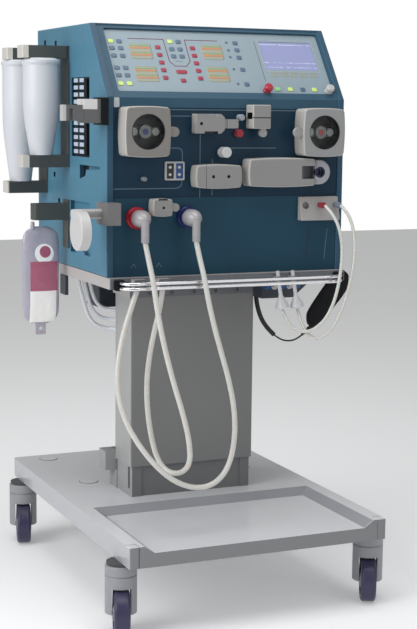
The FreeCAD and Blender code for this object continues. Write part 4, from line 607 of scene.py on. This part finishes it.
# Painted shade in the detector's hole and slot edges, the clamp's slot, the sensor's holes and groove, the
# line clamp's hole and slot, the syringe pump's recess and the inlet's hole.
module("air_detector_body", "air_detector_lid", areas=[
    ((-0.0798, -0.2594, 1.092), 0.0042, pit), ((-0.056, -0.252, 1.1113), (0.016, 0.012, 0.0024), groove_shade),
    ((-0.056, -0.252, 1.0727), (0.016, 0.012, 0.0024), pit)])
module("venous_clamp_body", areas=[((0.048, -0.251, 1.11), (0.0085, 0.0135, 0.0072), pit),
                                   ((0.064, -0.269, 1.106), (0.024, 0.0028, 0.0011), pit)])
module("sensor_block", areas=[((x, -0.264, 0.976), 0.0048, pit) for x in (-0.052, -0.015)]
       + [((-0.069, -0.264, 0.976), (0.0008, 0.0028, 0.026), groove_shade)])
module("line_clamp_body", "line_clamp_lever", areas=[
    ((-0.168, -0.2594, 0.909), 0.0042, pit), ((-0.169, -0.258, 0.926), (0.011, 0.0068, 0.0016), pit)])
module("syringe_pump_housing", areas=[
    ((0.186, -0.264, 0.984), (0.0215, 0.0155, 0.0147), (0.07, 0.072, 0.08))])
module("concentrate_inlet", front=(0.37, 0.36, 0.355), areas=[
    ((0.1895, -0.249, 0.908), 0.009, (0.06, 0.075, 0.07))])
module("lower_clamp_arm", areas=[((-0.364, -0.276, 0.864), (0.0125, 0.045, 0.045), (0.6, 0.59, 0.59))])
dress(finish("clamp_arm_grey", (0.115, 0.117, 0.12), 0.4, 0.12, 1300, 0.00005, 0.04, painted(
    ((-0.33, -0.217, 1.1325), (0.0165, 0.03, 0.0115), (0.66, 0.66, 0.65)),
    ((-0.392, -0.217, 1.113), (0.0085, 0.03, 0.03), (0.5, 0.5, 0.49)))), "upper_clamp_arm")
dress(finish("tongue_pale", (0.3, 0.3, 0.3), 0.35, 0.1, 1000, 0.00003, 0.03), "venous_clamp_tongue")
dress(finish("carriage_clear", (0.33, 0.34, 0.37), 0.25, 0.1, 800, 0.00002, 0.0, painted(
    ((0.2138, -0.262, 0.984), 0.0135, (0.015, 0.02, 0.06))), Coat_Weight=0.4), "syringe_pump_carriage")
for side, x, bar, hub in (("left", left_pump_x, (0.05, 0.055, 0.05), (0.03, 0.035, 0.2)),
                          ("right", right_pump_x, (0.13, 0.14, 0.14), (0.4, 0.03, 0.04))):
    dress(finish("rotor_" + side, bar, 0.3, 0.3, 700, 0.00004, 0.0, painted(
        ((x, -0.258, pump_z), 0.0152, (0.2, 0.21, 0.2)), ((x, -0.261, pump_z), 0.0068, hub),
        ((x - roller_reach, -0.258, pump_z), 0.0085, (0.42, 0.44, 0.42)),
        ((x + roller_reach, -0.258, pump_z), 0.0085, (0.42, 0.44, 0.42)))), side + "_pump_rotor")
clear = bpy.data.materials.new("clear_window")
clear.use_nodes = True
clear_shader = clear.node_tree.nodes["Principled BSDF"]
clear_shader.inputs["Base Color"].default_value = (0.9, 0.92, 0.93, 1)
clear_shader.inputs["Transmission Weight"].default_value = 1.0
clear_shader.inputs["IOR"].default_value = 1.18
haze = clear.node_tree.nodes.new("ShaderNodeTexNoise")
haze.inputs["Scale"].default_value = 60
feed(clear.node_tree, clear_shader.inputs["Roughness"],
     ramp(clear.node_tree, haze.outputs["Fac"], 0, 1, 0.02, 0.12))
dress(clear, "left_pump_window", "right_pump_window")


# Front prints: pale flow lines that join the modules on the dark front panel, a few small pale marks,
# a dark painted shadow line, and one pale plate. Lines and marks are thin layers of ink, and the
# painted shadow is a thin dark layer like them.
print_pale = finish("print_pale", (0.11, 0.18, 0.23), 0.45, 0.15, 900, 0.00001, 0.0)
flow = [
    [(-143, 1122), (41, 1122)], [(87, 1122), (166, 1122)], [(-141, 1108), (-92, 1108)],
    [(-152, 1038), (-122, 1038), (-115, 1035), (-112.5, 1028), (-112.5, 1006)],
    [(-274, 949.5), (-129, 949.5), (-119, 952), (-114, 958), (-112.5, 968)],
    [(-70, 1069), (-70, 1002)], [(-70, 950), (-70, 928)], [(-40, 1014), (-40, 1003)],
    [(-40, 950), (-40, 933)], [(-2, 1038), (118, 1038)],
]
printed("front_flow_lines", flow, 1.7, print_pale, front_origin, front_axes)
painted_shadow = finish("painted_shadow", (0.008, 0.018, 0.04), 0.5)
printed("front_painted_shadow", [[(206, 852), (197, 782)]], 3.0, painted_shadow, front_origin, front_axes)
printed("front_pale_marks", [[(253, 852), (246, 782)], [(-233, 776), (-227, 785), (-221, 776)],
                             [(-173, 776), (-167, 785), (-161, 776)]], 1.4, print_pale,
        front_origin, front_axes)
pads("front_plate", [(-267, 1136)], 13, 21, 0.8, finish("plate_pale", (0.5, 0.52, 0.53), 0.4), front_origin,
     front_axes, slot_name="front_blue", power=9)


# Couplings and small fittings: white, red and blue mouldings on the front, the elbows on their
# rings, the plugs of the concentrate tubes, and the parked cones.
chalk = (0.55, 0.56, 0.56)
dress(finish("fittings", (0.4, 0.41, 0.42), 0.4, 0.15, 800, 0.00003, 0.0, painted(
    ((-0.222, -0.24, 0.886), 0.05, (0.4, 0.014, 0.03)), ((-0.102, -0.24, 0.886), 0.05, (0.014, 0.022, 0.13)),
    ((-0.016, -0.24, 1.029), 0.035, chalk), ((0.021, -0.24, 1.071), 0.02, (0.3, 0.015, 0.03)),
    ((0.024, -0.24, 1.106), 0.015, (0.3, 0.33, 0.37)), ((-0.206, -0.24, 0.971), 0.03, (0.2, 0.22, 0.24)),
    ((-0.143, -0.236, 0.988), (0.0082, 0.002, 0.0168), pit),
    ((-0.121, -0.236, 0.988), (0.0082, 0.002, 0.0168), (0.02, 0.07, 0.24)),
    *[((x, -0.2365, z), 0.0036, chalk) for x in (-0.143, -0.121) for z in (0.98, 0.996)])),
    "front_fittings")
# Two thin bands of painted groove shade at the collars where the coupling hoses start.
dress(finish("line_fittings", (0.37, 0.36, 0.37), 0.3, 0.1, 700, 0.00002, 0.0, painted(
    ((0.2255, -0.252, 0.908), 0.026, (0.3, 0.02, 0.03)), ((0.2655, -0.252, 0.908), 0.026, (0.2, 0.23, 0.3)),
    ((0.135, -0.262, 0.7), (0.045, 0.045, 0.065), (0.62, 0.63, 0.65)),
    *[((-0.162, -0.29, z), (0.075, 0.012, 0.0012), groove_shade) for z in (0.8405, 0.8465)]),
    Coat_Weight=0.3), "line_fittings")


# Ports under the plate: a dark moulded manifold whose five nipples have blue and white collars, and
# the power supply's case and the drain lines' bracket behind the column.
first_nipple, nipple_pitch = 0.1259, 0.0198
nipples = [((first_nipple + nipple_pitch * step, -0.184, 0.714), 0.0095, tint) for step, tint in enumerate(
    ((0.02, 0.12, 0.35), (0.6, 0.6, 0.62), (0.02, 0.12, 0.35), (0.6, 0.6, 0.62), (0.03, 0.14, 0.3)))]
dress(finish("dark_moulding", (0.035, 0.045, 0.06), 0.45, 0.25, 800, 0.00004, 0.06, painted(*nipples)),
      "service_ports")


# Holders on the left side: dark coated rails and arms with pale end caps, and two white moulded
# powder cartridges held between each pair of arms.
def pale_tip(reach):
    """Further out than the joint line the arm is its pale end cap."""
    def source(tree, colour):
        cap = calc(tree, "LESS_THAN", split(tree, coordinates(tree))["X"], -reach)
        return blend(tree, cap, colour, (0.62, 0.6, 0.56))
    return source


for name, reach in (("front_holder_arm", 0.387), ("rear_holder_arm", 0.375), ("holder_rails", 0.387)):
    dress(finish(name + "_coating", (0.062, 0.07, 0.068), 0.42, 0.2, 900, 0.00005, 0.08,
                 pale_tip(reach)), name)
dress(finish("cartridge_white", (0.63, 0.65, 0.69), 0.32, 0.08, 500, 0.00003, 0.03), "cartridges")


# Dry concentrate bag: a clear film bag full of white powder, hung by its port from the holder, with
# a welded hanging tab at the bottom and a plain maroon band round it.
bag_x, bag_y, bag_bottom, bag_height, bag_half, bag_depth = -0.355, 0.042, 0.620, 0.230, 0.0445, 0.0146


def bag_shell():
    """Rings up the bag: the width follows rounded welds, and the depth swells between the welds."""
    share = 0.5 - 0.5 * np.cos(np.linspace(0, np.pi, 47))
    heights = bag_bottom + bag_height * share
    ends = np.abs(2 * share - 1)
    half = bag_half * np.sqrt(np.clip(1 - ends ** 10, 0.06, 1))
    depth = bag_depth * np.clip((1 - ends ** 2.4) ** 0.6, 0.07, 1)
    turn = np.linspace(0, 2 * np.pi, 48, endpoint=False)
    ridge = 1 + 0.05 * np.sin(5 * turn)[None] * np.sin(share * 9)[:, None]
    x = half[:, None] * np.sign(np.cos(turn)) * np.abs(np.cos(turn)) ** 0.75
    y = depth[:, None] * np.sign(np.sin(turn)) * np.abs(np.sin(turn)) ** 0.9 * ridge
    return np.stack([x + bag_x, y + bag_y, np.broadcast_to(heights[:, None], x.shape)], -1)


def wrapped(rings):
    """Quads between neighbouring closed rings, and one face over each end ring."""
    rows, around = rings.shape[:2]
    row, column = np.meshgrid(np.arange(rows - 1), np.arange(around), indexing="ij")
    after = (column + 1) % around
    quads = np.stack([row * around + column, row * around + after, (row + 1) * around + after,
                      (row + 1) * around + column], -1).reshape(-1, 4).tolist()
    return quads + [list(range(around - 1, -1, -1)), list(range((rows - 1) * around, rows * around))]


maroon, powder = (0.42, 0.115, 0.19), (0.96, 0.95, 0.93)
film = finish("bag_film", (0.4, 0.39, 0.47), 0.2, 0.3, 60, 0.0015, 0.0, painted(
    ((-0.352, 0.042, 0.662), (0.032, 0.05, 0.037), powder), ((-0.35, 0.042, 0.786), 0.026, powder),
    ((-0.35, 0.042, 0.734), (0.0335, 0.05, 0.0345), maroon), ((-0.3475, 0.0285, 0.791), 0.0137, maroon)),
    Coat_Weight=0.5, Subsurface_Weight=0.15)
shell = bag_shell()
bag = piece_from("concentrate_bag", shell, wrapped(shell), film, "base")
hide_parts("dialysate_bag")
pads("bag_port", [(-374, 42)], 10, 10, 20, film, np.array([0, 0, 0.841]), np.eye(3),
     slot_name="bag_film", power=2)


def tab_rings():
    """From the hole's edge out over the front, round the rim and back: four closed rings."""
    turn = np.linspace(0, 2 * np.pi, 40, endpoint=False)
    hole = np.stack([np.cos(turn), np.sin(turn)], -1) * 0.004
    rim = np.stack([np.sign(np.cos(turn)) * np.abs(np.cos(turn)) ** 0.22 * 0.0125,
                    np.sign(np.sin(turn)) * np.abs(np.sin(turn)) ** 0.22 * 0.0145], -1)
    plan = np.array([hole, rim, rim, hole])
    y = np.array([0.0408, 0.0408, 0.0432, 0.0432])
    return np.stack([plan[..., 0] - 0.356, np.broadcast_to(y[:, None], plan.shape[:2]),
                     plan[..., 1] + 0.6095], -1)


tab = tab_rings()
rows, around = tab.shape[:2]
tab_faces = [[row * around + i, row * around + after, (row + 1) % rows * around + after,
              (row + 1) % rows * around + i]
             for row in range(rows) for i in range(around) for after in [(i + 1) % around]]
piece_from("bag_tab", tab, tab_faces, film, "base", smooth=False)


# Pressure cuff: a black woven strap, folded double over its hook, with stitched edges and the
# strain relief of its cord at the bottom.
cuff_y, cuff_half = -0.073, 0.0078


def cuff_pad():
    """A closed outline is carried from the back face to the front: its edge pulls in, its faces crown."""
    corner = np.array([(366, 745), (384, 736), (401, 722), (400, 700), (398, 688), (384, 668), (368, 650),
                       (350, 631), (332, 614), (306, 595), (296, 597), (289, 606), (287, 630), (300, 651),
                       (327, 687), (337, 699), (347, 715)], float)
    closed = np.vstack([corner, corner[:1]])
    length = np.concatenate([[0], np.cumsum(np.linalg.norm(np.diff(closed, axis=0), axis=1))])
    along = np.linspace(0, length[-1], 96, endpoint=False)
    edge = np.stack([np.interp(along, length, closed[:, axis]) for axis in (0, 1)], -1)
    for _ in range(3):
        edge = (np.roll(edge, 1, 0) + 2 * edge + np.roll(edge, -1, 0)) / 4
    spine = np.array([(386, 728), (300, 608)], float)
    axis = spine[1] - spine[0]
    share = np.clip(((edge - spine[0]) @ axis) / (axis @ axis), 0, 1)
    core = spine[0] + share[:, None] * axis
    inward = np.array([0.0, 0.02, 0.07, 0.16, 0.45, 0.8, 0.985])
    crown = cuff_half * np.array([0.0, 0.5, 0.72, 0.8, 0.95, 1.0, 1.0])
    rings = []
    for sign, steps in ((-1, range(6, 0, -1)), (1, range(0, 7))):
        for step in steps:
            flat = edge + (core - edge) * inward[step]
            rings.append(np.column_stack([flat[:, 0] / 1000, np.full(len(edge), cuff_y + sign * crown[step]),
                                          flat[:, 1] / 1000]))
    return np.array(rings)


pad = cuff_pad()


def weave_material(name, colour, pitch):
    """Two crossed waves give the threads' height and darken the gaps between them."""
    material = bpy.data.materials.new(name)
    material.use_nodes = True
    tree = material.node_tree
    shader = tree.nodes["Principled BSDF"]
    heights = []
    for direction in ("X", "Z"):
        wave = tree.nodes.new("ShaderNodeTexWave")
        wave.bands_direction = direction
        wave.inputs["Scale"].default_value = 1 / pitch
        wave.inputs["Distortion"].default_value = 0.4
        feed(tree, wave.inputs["Vector"], coordinates(tree))
        heights.append(wave.outputs["Fac"])
    threads = calc(tree, "MULTIPLY", *heights)
    gap, top = [tuple(part * share for part in colour) for share in (0.55, 1.5)]
    feed(tree, shader.inputs["Base Color"], blend(tree, threads, gap, top))
    bump = tree.nodes.new("ShaderNodeBump")
    bump.inputs["Distance"].default_value = 0.0003
    feed(tree, bump.inputs["Height"], threads)
    feed(tree, shader.inputs["Normal"], bump.outputs["Normal"])
    for socket, value in (("Roughness", 0.8), ("Specular IOR Level", 0.25), ("Sheen Weight", 0.04)):
        shader.inputs[socket].default_value = value
    return material


weave = weave_material("cuff_weave", (0.008, 0.008, 0.011), 0.0022)
cuff = piece_from("arm_cuff", pad, wrapped(pad), weave, "base")
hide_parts("pressure_cuff")
relief_lean = math.radians(55)
relief_axis = Vector((-math.sin(relief_lean), 0, -math.cos(relief_lean)))
turn = np.linspace(0, 2 * np.pi, 20, endpoint=False)
steps = np.array([(-0.006, 0.001), (-0.006, 0.006), (0.010, 0.006), (0.012, 0.0045), (0.020, 0.0042),
                  (0.0315, 0.003), (0.0315, 0.001)])
side = np.array(relief_axis.cross(Vector((0, 1, 0))))
ring = (np.cos(turn)[:, None] * side[None] + np.sin(turn)[:, None] * np.array([[0, 1, 0]]))
relief = (np.array([0.300, cuff_y, 0.596]) + steps[:, 0, None, None] * np.array(relief_axis)[None, None]
          + steps[:, 1, None, None] * ring[None])
piece_from("cuff_strain_relief", relief, wrapped(relief), rubber, "base")
